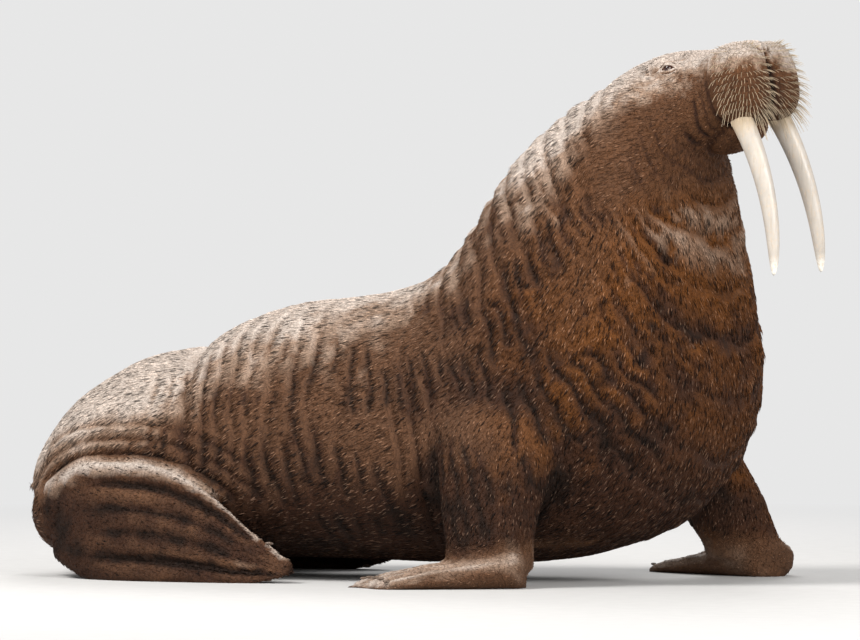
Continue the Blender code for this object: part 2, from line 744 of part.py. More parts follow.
def hind_forms(side):
    return [egg(mirrored(centre, side), radii) for _, centre, radii in HIND_FORMS]


def ring_half(row, size=3.0):
    """All that lies ahead of the plane of one of the trunk's cross-sections."""
    along = row / (len(TRUNK) - 1)
    top, bottom = trunk_point(along, 0), trunk_point(along, math.pi)
    left, right = trunk_point(along, math.pi / 2), trunk_point(along, -math.pi / 2)
    up = (top - bottom).normalized()
    ahead = (left - right).cross(up).normalized()
    across = up.cross(ahead)
    frame = Matrix((ahead, across, up)).transposed().to_4x4()
    frame = Matrix.Translation((top + bottom) / 2) @ frame
    return block((0, -size / 2, -size / 2), (size, size / 2, size / 2), frame)


def body():
    """The whole animal of flesh as one surface, but for the lips, jaw and hind flippers."""
    forms = [wrapped(trunk_point, 110, 64), head_form(), arm(ARM_RIGHT), arm(ARM_LEFT)]
    forms += [hand(HEEL_RIGHT, HAND_RIGHT_DEG, 1), hand(HEEL_LEFT, HAND_LEFT_DEG, -1)]
    forms += [egg(TAIL_CENTRE, TAIL_RADII), on_head(egg(*JOWL))]
    for side in (1, -1):
        forms += hind_forms(side)
    whole = fused(joined("rump", forms))
    fold(whole)
    weighted(whole, "plain", plainness)
    thinned(whole, BODY_SHARE, "plain")
    return largest_only(whole)


def floor_block():
    return put("floor", block(*FLOOR))


def finish(name):
    """A material with one finish's colour, roughness and metallic value."""
    colour, rough, metal = FINISHES[name]
    material = bpy.data.materials.new(name)
    material.use_nodes = True
    shader = material.node_tree.nodes["Principled BSDF"]
    shader.inputs["Base Color"].default_value = (*colour, 1)
    shader.inputs["Roughness"].default_value = rough
    shader.inputs["Metallic"].default_value = metal
    return material


def dressed():
    """Gives every piece its finish and shades it smooth."""
    for thing in bpy.context.scene.objects:
        kind = thing.name.removesuffix("_left").removesuffix("_right")
        thing.data.materials.clear()
        thing.data.materials.append(finish(WORN_BY[kind]))
        thing.data.shade_smooth()
        thing.data.set_sharp_from_angle(angle=math.radians(SHARP_DEG))


def parted_body(whole, sides):
    """Parts the body into head, neck, chest, torso, rump, tail and limbs, and returns the head."""
    head = parted(whole, "head", ring_half(HEAD_ROW))
    for side, name in sides:
        parted(whole, "ankle_" + name, egg(mirrored(HIND_CUT[0], side), HIND_CUT[1], detail=2))
        low, high = HAND_LEFT_BOX if side > 0 else HAND_RIGHT_BOX
        flipper = parted(whole, "foreflipper_" + name, block(low, high))
        heel, heading = (HEEL_LEFT, HAND_LEFT_DEG) if side > 0 else (HEEL_RIGHT, HAND_RIGHT_DEG)
        carved(flipper, hand_nails(heel, heading, -side), "UNION")
        parted(whole, "arm_" + name, arm(ARM_LEFT if side > 0 else ARM_RIGHT, ARM_MARGIN, (8, 16)))
    parted(whole, "neck", ring_half(NECK_ROW))
    parted(whole, "chest", ring_half(CHEST_ROW))
    parted(whole, "tail", block(*TAIL_BOX))
    parted(whole, "torso", ring_half(TORSO_ROW))
    return head


def muzzle(head, sides):
    """The whiskered pads, tusks, eyes and lower jaw, each let into the head."""
    pads, tusks = [], []
    for side, name in sides:
        thing = thinned(pad(side, "muzzle_pad_" + name), PAD_SHARE)
        ivory = tusk(side, "tusk_" + name)
        inner = sorted((-side, GAP / 2 * side))
        middle = put("middle", block((-1, inner[0], -1), (1, inner[1], 1), head_frame()))
        carved(thing, [swollen(head, 1.5 * GAP), middle, swollen(ivory, GAP)])
        pads.append(thing)
        tusks.append(ivory)
    jaw = put("lower_jaw", on_head(egg(CHIN_CENTRE, CHIN_RADII, (0, -10, 0), 3)))
    carved(jaw, [swollen(head, 1.5 * GAP)] + [swollen(thing, MOUTH_LINE) for thing in pads + tusks])
    for thing, (side, name) in zip(pads, sides):
        carved(thing, whiskers(side), "UNION", "MANIFOLD")
        carved(thing, [swollen(head, GAP), swollen(jaw, GAP)], solver="MANIFOLD")
        put("eye_" + name, eye(side))
    carved(head, [swollen(ivory, 1.5 * GAP) for ivory in tusks])


def centred():
    """Sets the middle of the whole over the origin; the soles stay on the floor."""
    things = list(bpy.context.scene.objects)
    corners = np.array([corner for thing in things for corner in thing.bound_box])
    middle = (corners.min(0) + corners.max(0)) / 2
    for thing in things:
        thing.data.transform(Matrix.Translation((-middle[0], -middle[1], 0)))


def main():
    for thing in list(bpy.data.objects):
        bpy.data.objects.remove(thing)
    whole = body()
    sides = ((1, "left"), (-1, "right"))
    for side, name in sides:
        fan = remeshed(put("hind_flipper_" + name, hind_flipper(side)), FAN_GRAIN)
        thinned(fan, FAN_SHARE)
        carved(fan, fan_nails(side), "UNION")
        carved(fan, [swollen(whole, 1.5 * GAP), floor_block()])
    carved(whole, [floor_block()])
    head = parted_body(whole, sides)
    head_details(head)
    muzzle(head, sides)
    centred()
    dressed()


main()
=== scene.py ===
"""A life-size bull walrus sitting up on its foreflippers, dressed for the picture.

Metres, +Z up, +X is the way the body faces, +Y is the animal's left. One hide covers all its flesh: the
same rounded forms as the solids, fused, folded and wrinkled. Over it lie a coat of short hair, bristles
on the muzzle and nails; tusks and eyes are pieces of their own.
"""

import math

import bmesh
import bpy
import numpy as np
from mathutils import Matrix, Vector, kdtree, noise


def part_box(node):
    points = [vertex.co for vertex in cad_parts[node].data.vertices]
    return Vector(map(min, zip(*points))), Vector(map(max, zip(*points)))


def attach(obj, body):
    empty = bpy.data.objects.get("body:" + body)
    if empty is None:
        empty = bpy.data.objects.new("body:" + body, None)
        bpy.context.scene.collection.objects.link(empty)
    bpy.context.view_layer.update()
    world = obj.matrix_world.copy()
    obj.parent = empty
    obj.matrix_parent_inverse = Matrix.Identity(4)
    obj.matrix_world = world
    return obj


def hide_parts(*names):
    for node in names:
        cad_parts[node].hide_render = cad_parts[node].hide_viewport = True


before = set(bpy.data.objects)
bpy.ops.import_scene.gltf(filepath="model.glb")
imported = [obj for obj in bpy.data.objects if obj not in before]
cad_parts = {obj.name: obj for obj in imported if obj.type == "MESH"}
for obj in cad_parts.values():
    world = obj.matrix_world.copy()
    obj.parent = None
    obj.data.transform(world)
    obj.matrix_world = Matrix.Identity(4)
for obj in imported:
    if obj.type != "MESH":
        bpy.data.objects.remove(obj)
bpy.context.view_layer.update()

SIDES = ((1, "left"), (-1, "right"))
FLESH = ["rump", "torso", "chest", "neck", "head", "tail", "lower_jaw"]
for _, side_name in SIDES:
    for part_name in ("muzzle_pad", "arm", "foreflipper", "ankle", "hind_flipper"):
        FLESH.append(part_name + "_" + side_name)

# Cross-sections of the trunk from the rump to the throat: the top of the back (x, z), the underside
# (x, z), half the width, and how far the widest level sags below the middle.
TRUNK = (
    ("rump end", -1.415, 0.370, -1.400, 0.235, 0.120, 0.00),
    ("tail root", -1.350, 0.485, -1.330, 0.150, 0.235, 0.04),
    ("rump", -1.190, 0.648, -1.170, 0.085, 0.345, 0.08),
    ("hips", -1.000, 0.750, -1.000, 0.075, 0.405, 0.12),
    ("rump fold", -0.810, 0.790, -0.800, 0.070, 0.435, 0.14),
    ("loin", -0.640, 0.880, -0.610, 0.065, 0.450, 0.16),
    ("flank", -0.460, 0.938, -0.420, 0.065, 0.468, 0.16),
    ("mid back", -0.280, 0.958, -0.190, 0.062, 0.475, 0.16),
    ("last ribs", -0.100, 0.980, 0.070, 0.055, 0.480, 0.15),
    ("withers", 0.030, 1.028, 0.300, 0.055, 0.485, 0.13),
    ("shoulders", 0.140, 1.140, 0.570, 0.085, 0.492, 0.11),
    ("breast", 0.245, 1.310, 0.850, 0.180, 0.480, 0.08),
    ("chest", 0.350, 1.445, 1.042, 0.365, 0.460, 0.06),
    ("neck root", 0.460, 1.545, 1.122, 0.600, 0.415, 0.05),
    ("neck", 0.570, 1.622, 1.110, 0.840, 0.372, 0.04),
    ("upper neck", 0.668, 1.675, 1.070, 1.065, 0.325, 0.03),
    ("throat", 0.748, 1.722, 1.042, 1.265, 0.270, 0.02),
    ("nape", 0.818, 1.755, 1.025, 1.400, 0.210, 0.00),
)
TRUNK_SQUARENESS = 2.25

# The front of the body swings to the right between two places along it
TURN_FROM = 0.15
TURN_TO = 1.15
TURN_DEG = -18.0

# Folds of the hide round the trunk: where on the back, counted in cross-sections, how far each leans
# forward at the belly, its depth, its half-width, and the heights between which it runs (1 is the
# back, -1 the belly).
FOLDS = (
    ("rump crease", 4.15, 0.55, 0.026, 0.17, 1.30, -0.60),
    ("rump crease", 4.55, 0.45, 0.010, 0.10, 0.75, -0.35),
    ("loin", 4.95, 0.20, 0.009, 0.10, 0.80, -0.60),
    ("loin", 5.30, 0.14, 0.010, 0.11, 0.88, -0.62),
    ("loin", 5.66, 0.10, 0.010, 0.11, 0.90, -0.65),
    ("loin", 6.03, 0.05, 0.009, 0.11, 0.92, -0.65),
    ("loin", 6.42, 0.00, 0.008, 0.11, 0.90, -0.65),
    ("loin", 6.85, -0.04, 0.007, 0.11, 0.86, -0.65),
    ("loin", 7.35, -0.08, 0.005, 0.11, 0.80, -0.60),
    ("armpit", 8.35, -0.30, 0.013, 0.09, 0.30, -0.85),
    ("armpit", 8.66, -0.22, 0.018, 0.09, 0.42, -0.85),
    ("armpit", 9.00, -0.14, 0.013, 0.09, 0.36, -0.80),
    ("withers", 9.55, 0.05, 0.010, 0.13, 1.30, 0.45),
    ("withers", 10.05, 0.08, 0.011, 0.13, 1.30, 0.42),
    ("mane", 10.55, 0.10, 0.012, 0.14, 1.30, 0.30),
    ("mane", 11.10, 0.10, 0.012, 0.15, 1.30, 0.25),
    ("mane", 11.68, 0.10, 0.012, 0.16, 1.30, 0.22),
    ("mane", 12.28, 0.08, 0.012, 0.17, 1.30, 0.20),
    ("mane", 12.92, 0.06, 0.012, 0.18, 1.30, 0.22),
    ("mane", 13.60, 0.05, 0.011, 0.19, 1.30, 0.25),
    ("mane", 14.32, 0.05, 0.011, 0.20, 1.30, 0.30),
    ("mane", 15.08, 0.05, 0.010, 0.21, 1.30, 0.35),
    ("throat", 16.55, 0.00, 0.014, 0.14, 0.10, -1.30),
    ("throat", 15.95, 0.05, 0.013, 0.14, 0.05, -1.30),
    ("throat", 15.30, 0.10, 0.011, 0.14, 0.00, -1.30),
    ("chest", 14.55, 0.10, 0.010, 0.14, -0.05, -1.30),
    ("chest", 13.75, 0.10, 0.009, 0.14, -0.10, -1.30),
    ("chest", 12.95, 0.12, 0.008, 0.13, -0.15, -1.30),
    ("chest", 12.15, 0.14, 0.007, 0.12, -0.25, -1.30),
    ("chest", 11.40, 0.16, 0.006, 0.11, -0.35, -1.30),
)
# How far a fold wavers, in cross-sections, and how sharply it ends
FOLD_WOBBLE = 0.10
FOLD_END = 12.0

# Wrinkles between the folds: how many to a cross-section, how they waver, and how deep they are
WRINKLES = 3.3
WRINKLE_WAVES = 24.0
WRINKLE_WAVER = 0.11
WRINKLE_DEEP = 0.0074

# Creases of the cheek behind each pad, and folds of the hip above the flipper's upper edge: how far off
# each one lies, its depth and its half-width
CHEEK_CREASES = ((0.034, 0.0022, 0.0075), (0.070, 0.0042, 0.0095), (0.117, 0.0040, 0.0120))
HIP_ARCS = ((0.030, 0.012, 0.012), (0.085, 0.006, 0.013), (0.140, 0.005, 0.015))

# How deep the finer carving goes: slack rolls, knobs of the neck and fine wrinkles, then the mouth line,
# the seam behind each pad, the cleft between the pads, the crease over an eye and the bag under it
ROLL_DEEP = 0.0045
KNOB_DEEP = 0.010
FINE_DEEP = 0.0016
MOUTH_DEEP = 0.012
SEAM_DEEP = 0.0035
CLEFT_DEEP = 0.016
BROW_DEEP = 0.0035
BAG_DEEP = 0.0028

# The arms as tubes of oval sections: centre (x, y, z), half-size fore and aft, half-size across.
ARM_RIGHT = (
    ("in the chest", 0.345, -0.240, 0.720, 0.190, 0.100),
    ("shoulder", 0.370, -0.385, 0.600, 0.215, 0.140),
    ("upper arm", 0.390, -0.480, 0.450, 0.205, 0.132),
    ("forearm", 0.385, -0.530, 0.280, 0.180, 0.115),
    ("wrist", 0.385, -0.550, 0.150, 0.155, 0.105),
    ("palm root", 0.390, -0.555, 0.060, 0.150, 0.105),
)
ARM_LEFT = (
    ("in the chest", 0.610, 0.200, 0.680, 0.200, 0.100),
    ("shoulder", 0.690, 0.300, 0.560, 0.225, 0.140),
    ("upper arm", 0.780, 0.370, 0.420, 0.212, 0.128),
    ("forearm", 0.870, 0.425, 0.290, 0.180, 0.115),
    ("wrist", 0.955, 0.455, 0.150, 0.145, 0.100),
    ("palm root", 0.980, 0.460, 0.060, 0.130, 0.100),
)

# A foreflipper: its heel, the way its fingers point, and its sizes.
HEELS = {1: (1.105, 0.440, 0.0), -1: (0.515, -0.545, 0.0)}
HAND_DEG = {1: 180 - 35, -1: 180 + 20}
HAND_LENGTH = 0.62
HAND_WIDTH = 0.28
HAND_THICK = 0.140
HAND_TIP_THICK = 0.034
HAND_SUNK = 0.010
FINGERS = 5
FINGER_NOTCH = 0.075
FINGER_RIDGE = 0.34
FINGER_GROOVE = 0.011
# Knuckles: how far along the finger, half-width and rise
KNUCKLES = ((0.52, 0.05, 0.35), (0.74, 0.04, 0.25))
NAIL = (0.013, 0.0065, 0.005)
NAIL_PLACE = 0.88

# The head in its own axes: x to the nose, y to the animal's left, z to the crown. Its cross-sections run
# from the nape to the nose: x, top, underside, half the width, and how far the widest level sags.
HEAD_PLACE = Vector((0.967, -0.130, 1.652))
HEAD_TURN = (2.5, -12.0, -22.0)
HEAD = (
    ("inside the neck", -0.250, 0.085, -0.215, 0.135, 0.10),
    ("occiput", -0.170, 0.128, -0.255, 0.178, 0.14),
    ("crown", -0.080, 0.140, -0.245, 0.176, 0.16),
    ("brow", 0.010, 0.132, -0.225, 0.160, 0.18),
    ("bridge", 0.100, 0.114, -0.205, 0.142, 0.14),
    ("snout", 0.190, 0.110, -0.180, 0.130, 0.08),
    ("nose", 0.275, 0.112, -0.115, 0.092, 0.00),
    ("nose end", 0.330, 0.086, -0.030, 0.055, 0.00),
)
JOWL = ((-0.140, 0, -0.085), (0.240, 0.190, 0.220))
PAD_CENTRE = np.array((0.245, 0.081, -0.036))
PAD_RADII = np.array((0.105, 0.088, 0.139))
PAD_SQUARENESS = 2.6
PAD_TOE_OUT = 14.0
CHIN_CENTRE = np.array((0.145, 0, -0.185))
CHIN_RADII = np.array((0.125, 0.080, 0.062))
CHIN_TILT = -10.0

# The left eye, its lids and the left nostril and ear, in the head's axes.
EYE_CENTRE = np.array((-0.006, 0.105, 0.071))
EYE_RADIUS = 0.021
EYE_OUT_DEG = 66.0
LID_THICK = 0.0035
LID_SPREAD = (0.038, 0.030)
LID_SLIT = (0.0245, 0.0095, 0.0065)
LID_SOCKET = 0.011
NOSTRIL_CENTRE = np.array((0.322, 0.026, 0.064))
NOSTRIL = (0.017, 0.0055, 0.016)
EAR_CENTRE = np.array((-0.125, 0.182, 0.028))
EAR = (0.006, 0.017, 0.008)

# Bristles stand in rows down each pad and in columns from its front round to its outer side.
BRISTLE_ROWS = 14
BRISTLE_COLUMNS = 22
BRISTLE_TOP_DEG = 52.0
BRISTLE_LOW_DEG = -64.0
BRISTLE_FRONT_DEG = -30.0
BRISTLE_BACK_DEG = 116.0
BRISTLE_LEAST = 0.012
BRISTLE_MOST = 0.058
BRISTLE_ROOT = 0.0013
BRISTLE_TIP = 0.0004
BRISTLE_SUNK = 0.008
BRISTLE_LEAN = (0.10, 0.15, -0.32)
BRISTLE_FALL = (-0.10, 0.12, -1.0)
BRISTLE_DROOP = 0.60
BRISTLE_STRAY = 0.12
BRISTLE_SEED = 11
BRISTLE_CLEAR = 0.006
BRISTLE_STEPS = 8
BRISTLE_SIDES = 5

# A tusk runs from its socket down and forward, curving back to upright.
TUSK_ROOT = Vector((0.215, 0.100, -0.085))
TUSK_LENGTH = 0.620
TUSK_START_DEG = 24.0
TUSK_CURVE_DEG = 38.0
TUSK_SPLAY_DEG = 3.0
TUSK_THICK = 0.044
TUSK_SIDE = 0.74
TUSK_TAPER = 0.52
TUSK_STEPS = 60
TUSK_GROOVE = 0.0008

# The hind legs tuck forward under the rump, each ending in a broad fan.
HIND_FORMS = (
    ("hip", (-1.020, 0.240, 0.360), (0.290, 0.165, 0.265)),
    ("ankle", (-1.130, 0.275, 0.235), (0.215, 0.130, 0.180)),
)
TAIL_CENTRE = (-1.415, 0, 0.300)
TAIL_RADII = (0.060, 0.055, 0.028)

# A hind flipper's cross-sections from the ankle to the toes: the upper edge (x, y, z), the lower edge
# (x, y, z) and the thickness.
FAN = (
    ("ankle", -1.250, 0.330, 0.310, -1.230, 0.350, 0.062, 0.110),
    ("heel", -1.120, 0.400, 0.385, -1.100, 0.425, 0.004, 0.125),
    ("instep", -0.960, 0.430, 0.400, -0.940, 0.500, -0.012, 0.100),
    ("ball", -0.790, 0.450, 0.380, -0.770, 0.535, -0.014, 0.080),
    ("toe roots", -0.620, 0.465, 0.305, -0.610, 0.550, -0.014, 0.064),
    ("toes", -0.460, 0.480, 0.190, -0.450, 0.550, -0.012, 0.052),
    ("toe ends", -0.315, 0.490, 0.095, -0.290, 0.540, 0.002, 0.036),
)
TOES = 5
TOE_RIDGE = 0.6
TOE_NOTCH = 0.06
TOE_GROOVE = 0.018
TOE_NAIL = (0.016, 0.005, 0.006)

# The painted highlight along the edge of a hind flipper's second lobe: where it lies, from 1 at the upper
# edge to -1 at the lower, its half-width and how bright it is
SECOND_RIM = -0.44
SECOND_RIM_WIDTH = 0.055
SECOND_RIM_HIGHLIGHT = 0.60

# The hide: how the forms are fused, above which height they are eased into one another, how fine its
# faces are, and how far it lies under the surface of the coat
FLESH_GRAIN = 0.013
FLESH_ROUNDS = 36
HAND_TOP = 0.13
HAND_BLEND = 0.10
HIDE_GRAIN = 0.0068
HIDE_ROUNDS = 5
HIDE_TRIANGLES = 190000
EYE_REACH = 0.055
COAT_DEPTH = 0.003

# Colours of the hide before light falls on it, and of the rest
PALE = (0.54, 0.46, 0.405)
TAN = (0.30, 0.205, 0.148)
BROWN = (0.112, 0.053, 0.027)
GINGER = (0.120, 0.041, 0.008)
DARK = (0.040, 0.016, 0.008)
INK = (0.014, 0.006, 0.003)
IVORY = (0.50, 0.465, 0.425)
IVORY_STAIN = (0.52, 0.40, 0.26)
IVORY_TIP = (0.88, 0.84, 0.76)
STRAW = (0.52, 0.41, 0.28)
EYE_RIM = (0.22, 0.13, 0.09)
IRIS = (0.022, 0.010, 0.005)
PUPIL = (0.004, 0.003, 0.003)

# How much painted shade darkens a cheek crease or a hip fold for its depth, and a hollow for how hollow it
# is
CARVED_SHADE = 38.0
HOLLOW_SHADE = 0.9

# The coat of short hair: the spacing and sizes of its tufts, and how many make one piece
HAIR_SPACING = 0.0098
HAIR_LENGTH = 0.024
HAIR_WIDTH = 0.0042
HAIR_THICK = 0.0013
HAIR_SUNK = 0.0015
HAIR_LIFT = 0.0024
HAIR_SWAY = 0.30
HAIR_SEED = 5
HAIRS_A_PIECE = 19500

# The shares of tufts that are darker than the hide, that are large and nearly black, and that are pale
DARK_SHARE = 0.24
BOLD_SHARE = 0.065
LIGHT_SHARE = 0.13

# The shades of a tuft's seven corners from root to tip, and the size of its patch on the bake's map
TUFT_SHADES = (0.80, 0.80, 0.80, 1.0, 1.0, 1.0, 1.08)
PATCH = 0.003

# The picture: metres to one of its dots, its size, and where the camera stands
DOT = 0.0034
PICTURE_WIDTH = 860
PICTURE_MIDDLE = 0.877
CAMERA_TURN = 18.0
CAMERA_RISE = 0.5
CAMERA_FAR = 22.0

# The room: its grey, its even light, the floor, and where the lamps point
BACKDROP = (0.80, 0.80, 0.80)
ROOM_LIGHT = 0.42
FLOOR_RADIUS = 120.0
LAMP_AIM = (0, 0, 0.7)

# Lamps: where each hangs, how wide it is, its power in watts and its colour
LAMPS = (
    ("key", (-3.6, -4.2, 6.6), 3.2, 720.0, (1.0, 0.97, 0.93)),
    ("fill", (5.2, -4.6, 3.4), 4.0, 430.0, (1.0, 0.97, 0.93)),
    ("rim", (-1.5, 5.5, 5.0), 4.0, 300.0, (1.0, 0.98, 0.96)),
)


def rows_at(rows, along):
    """The numbers of a table of cross-sections, smoothly between its rows; along runs from 0 to 1."""
    values = np.array([row[1:] for row in rows], float)
    last = len(values) - 1
    place = np.clip(along, 0, 1) * last
    left = np.minimum(place.astype(int), last - 1)
    t = (place - left)[..., None]
    before, start = values[np.maximum(left - 1, 0)], values[left]
    end, after = values[left + 1], values[np.minimum(left + 2, last)]
    slope_in, slope_out = (end - before) / 2, (after - start) / 2
    return (
        (2 * t**3 - 3 * t**2 + 1) * start
        + (t**3 - 2 * t**2 + t) * slope_in
        + (3 * t**2 - 2 * t**3) * end
        + (t**3 - t**2) * slope_out
    )


def signed_power(value, power):
    return np.sign(value) * np.abs(value) ** power


def ease(value, low, high):
    """0 below low, 1 above high and a smooth rise between; high may be the lesser."""
    share = np.clip((value - low) / (high - low), 0, 1)
    return share * share * (3 - 2 * share)


def bell(value, width):
    """1 where the value is 0, falling away smoothly over about a width."""
    return np.exp(-((value / width) ** 2))


def lobes(spread, count):
    """From 0 between two fingers or toes to 1 on top of one; spread runs across them from -1 to 1."""
    return np.abs(np.sin(count * math.pi * (spread + 1) / 2))


def stacked(*columns):
    return np.stack(np.broadcast_arrays(*columns), -1).astype(float)


def turn_at(x):
    """How far round the front of the body has swung at x, in radians, and how far it has moved aside."""
    reach = TURN_TO - TURN_FROM
    angle = math.radians(TURN_DEG) * np.clip((x - TURN_FROM) / reach, 0, 1)
    swing = angle / 2 * np.clip(x - TURN_FROM, 0, reach)
    return angle, swing + np.maximum(x - TURN_TO, 0) * np.sin(angle)


def trunk_points(along, round_it):
    """Points of the trunk's skin; round_it turns from the back over the left side."""
    back_x, back_z, belly_x, belly_z, half_width, sag = rows_at(TRUNK, along).T
    height = signed_power(np.cos(round_it), 2 / TRUNK_SQUARENESS)
    side = signed_power(np.sin(round_it), 2 / TRUNK_SQUARENESS)
    x = (back_x + belly_x) / 2 + (back_x - belly_x) / 2 * height
    z = (back_z + belly_z) / 2 + (back_z - belly_z) / 2 * height
    y = half_width * side * (1 - sag * height)
    angle, aside = turn_at(x)
    return stacked(x - y * np.sin(angle), aside + y * np.cos(angle), z)


def trunk_places(points):
    """Where points lie on the trunk: counted in cross-sections along it, from -1 belly to 1 back, and
    how far to the left of its middle."""
    x, y, z = points.T.copy()
    straight = x.copy()
    for _ in range(3):
        angle, aside = turn_at(straight)
        offset = (y - aside) / np.cos(angle)
        straight = x + offset * np.sin(angle)
    steps = np.linspace(0, 1, 16 * len(TRUNK))
    rings = rows_at(TRUNK, steps)[:, :4]
    back, belly = rings[:, 0:2], rings[:, 2:4]
    down = belly - back
    ring, level = np.zeros(len(points)), np.zeros(len(points))
    for start in range(0, len(points), 20000):
        some = slice(start, start + 20000)
        reach = np.stack([straight[some], z[some]], 1)[:, None, :] - back[None, :, :]
        past = down[None, :, 1] * reach[:, :, 0] - down[None, :, 0] * reach[:, :, 1]
        left = np.clip((past < 0).sum(1) - 1, 0, len(steps) - 2)
        pick = np.arange(len(left))
        before, after = past[pick, left], past[pick, left + 1]
        gap = np.where(np.abs(before - after) < 1e-9, 1e-9, before - after)
        ring[some] = (left + np.clip(before / gap, 0, 1)) / (len(steps) - 1) * (len(TRUNK) - 1)
        line = down[left]
        level[some] = (reach[pick, left] * line).sum(1) / (line * line).sum(1)
    return ring, 1 - 2 * level, offset


def arm_points(rows, along, angle):
    x, y, z, fore, across = rows_at(rows, along).T
    return stacked(x + fore * np.cos(angle), y + across * np.sin(angle), z)


def hand_half_width(along):
    return HAND_WIDTH / 2 * (0.82 + 0.36 * along - 0.20 * along**3)


def hand_points(side, along, angle):
    """Points of a foreflipper's skin: along from heel to fingertips, the angle round its section."""
    heading = math.radians(HAND_DEG[side])
    ahead = np.array((math.cos(heading), math.sin(heading), 0))
    across = np.array((-ahead[1], ahead[0], 0)) * -side
    spread = np.cos(angle)
    lobe = lobes(spread, FINGERS)
    reach = HAND_LENGTH * (1 - 0.16 * (spread * 0.5 + 0.5) - FINGER_NOTCH * (1 - lobe) * along**2)
    width = hand_half_width(along)
    thick = HAND_THICK * (1 - along) ** 0.8 * (1 - 0.2 * along) + HAND_TIP_THICK * along
    thick = thick * np.sqrt(np.maximum(1 - along**8, 0)) * (1 + FINGER_RIDGE * (lobe - 0.5) * along)
    level = thick / 2 * signed_power(np.sin(angle), 0.8)
    rim = np.sqrt(np.maximum(1 - (2 * np.abs(along - 0.5)) ** 12, 0))
    lift = thick / 2 - HAND_SUNK + level
    flat = ahead * (reach * along)[..., None] + across * (width * spread * rim)[..., None]
    return np.array(HEELS[side]) + flat + np.array((0, 0, 1)) * lift[..., None]


def fan_points(side, along, angle):
    """Points of a hind flipper's skin: along from ankle to toes, the angle round its section."""
    numbers = rows_at(FAN, along)
    upper, lower, thick = numbers[..., 0:3], numbers[..., 3:6], numbers[..., 6]
    spread = np.cos(angle)
    up = (upper - lower) / 2
    out = np.cross(np.array((1.0, 0, 0)), up)
    out /= np.linalg.norm(out, axis=-1)[..., None]
    lobe = lobes(spread, TOES)
    ridge = 1 + TOE_RIDGE * (lobe - 0.5) * along
    level = thick / 2 * signed_power(np.sin(angle), 0.8) * (0.55 + 0.45 * spread**4) * ridge
    tip = np.sqrt(np.maximum(1 - along**10, 0))
    points = (upper + lower) / 2 + up * (spread * (0.25 + 0.75 * tip))[..., None]
    points = points - out * (level * tip)[..., None]
    points[..., 0] -= TOE_NOTCH * (1 - lobe) * along**3
    return points * (1, side, 1)


def head_points(along, round_it):
    x, top, bottom, half_width, sag = rows_at(HEAD, along).T
    height = signed_power(np.cos(round_it), 0.9)
    side = signed_power(np.sin(round_it), 0.9)
    z = (top + bottom) / 2 + (top - bottom) / 2 * height
    return on_head(stacked(x, half_width * side * (1 - sag * height), z))


def head_frame():
    """Carries the head's own axes into the body's."""
    roll, pitch, yaw = (math.radians(value) for value in HEAD_TURN)
    spin = Matrix.Rotation(yaw, 4, "Z") @ Matrix.Rotation(pitch, 4, "Y") @ Matrix.Rotation(roll, 4, "X")
    return Matrix.Translation(HEAD_PLACE) @ spin


HEAD_FRAME = head_frame()
HEAD_AXES = np.array(HEAD_FRAME.to_3x3())


def on_head(points):
    return points @ HEAD_AXES.T + np.array(HEAD_PLACE)


def in_head(points):
    """Points of the body in the head's own axes."""
    return (points - np.array(HEAD_PLACE)) @ HEAD_AXES


def turned_flat(points, degrees):
    """Points turned about the upright axis."""
    angle = math.radians(degrees)
    x = points[..., 0] * math.cos(angle) - points[..., 1] * math.sin(angle)
    y = points[..., 0] * math.sin(angle) + points[..., 1] * math.cos(angle)
    return stacked(x, y, points[..., 2])


# Where the maker's origin lies in the solids' frame, read off the left eye
EYE_LOW, EYE_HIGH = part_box("eye_left")
SHIFT = (Vector(EYE_LOW) + Vector(EYE_HIGH)) / 2 - HEAD_FRAME @ Vector(EYE_CENTRE)


def moved(mesh, place):
    """Moves each point of a bmesh by a function of all of them."""
    points = place(np.array([vertex.co for vertex in mesh.verts]))
    for vertex, point in zip(mesh.verts, points):
        vertex.co = point
    return mesh


def wrapped(place, along, around):
    """A closed tube: a grid rolled round so that place(along, angle) gives its points."""
    mesh = bmesh.new()
    bmesh.ops.create_grid(mesh, x_segments=along, y_segments=around, size=0.5)
    moved(mesh, lambda points: place(points[:, 0] + 0.5, math.tau * (points[:, 1] + 0.5)))
    bmesh.ops.remove_doubles(mesh, verts=mesh.verts, dist=1e-5)
    bmesh.ops.holes_fill(mesh, edges=mesh.edges, sides=0)
    bmesh.ops.recalc_face_normals(mesh, faces=mesh.faces)
    return mesh


def egg(centre, radii, detail=4):
    """A sphere stretched and set in its place."""
    mesh = bmesh.new()
    bmesh.ops.create_icosphere(mesh, subdivisions=detail, radius=1.0)
    return moved(mesh, lambda points: points * radii + centre)


def put(name, mesh):
    """A bmesh as an object of the scene."""
    data = bpy.data.meshes.new(name)
    mesh.to_mesh(data)
    mesh.free()
    thing = bpy.data.objects.new(name, data)
    bpy.context.scene.collection.objects.link(thing)
    return thing


def joined(name, meshes):
    """Several bmeshes as one object, each still a shell of its own."""
    whole = bmesh.new()
    for mesh in meshes:
        data = bpy.data.meshes.new("form")
        mesh.to_mesh(data)
        mesh.free()
        whole.from_mesh(data)
        bpy.data.meshes.remove(data)
    return put(name, whole)


def taken_back(thing):
    """The object as a bmesh; the object goes."""
    mesh = bmesh.new()
    mesh.from_mesh(thing.data)
    bpy.data.objects.remove(thing)
    return mesh


def settled(thing):
    """Applies an object's modifiers."""
    bpy.context.view_layer.update()
    graph = bpy.context.evaluated_depsgraph_get()
    data = bpy.data.meshes.new_from_object(thing.evaluated_get(graph))
    thing.modifiers.clear()
    thing.data = data
    return thing


def changed(thing, kind, **settings):
    """One modifier with its settings, applied."""
    modifier = thing.modifiers.new(kind.lower(), kind)
    for name, value in settings.items():
        setattr(modifier, name, value)
    return settled(thing)


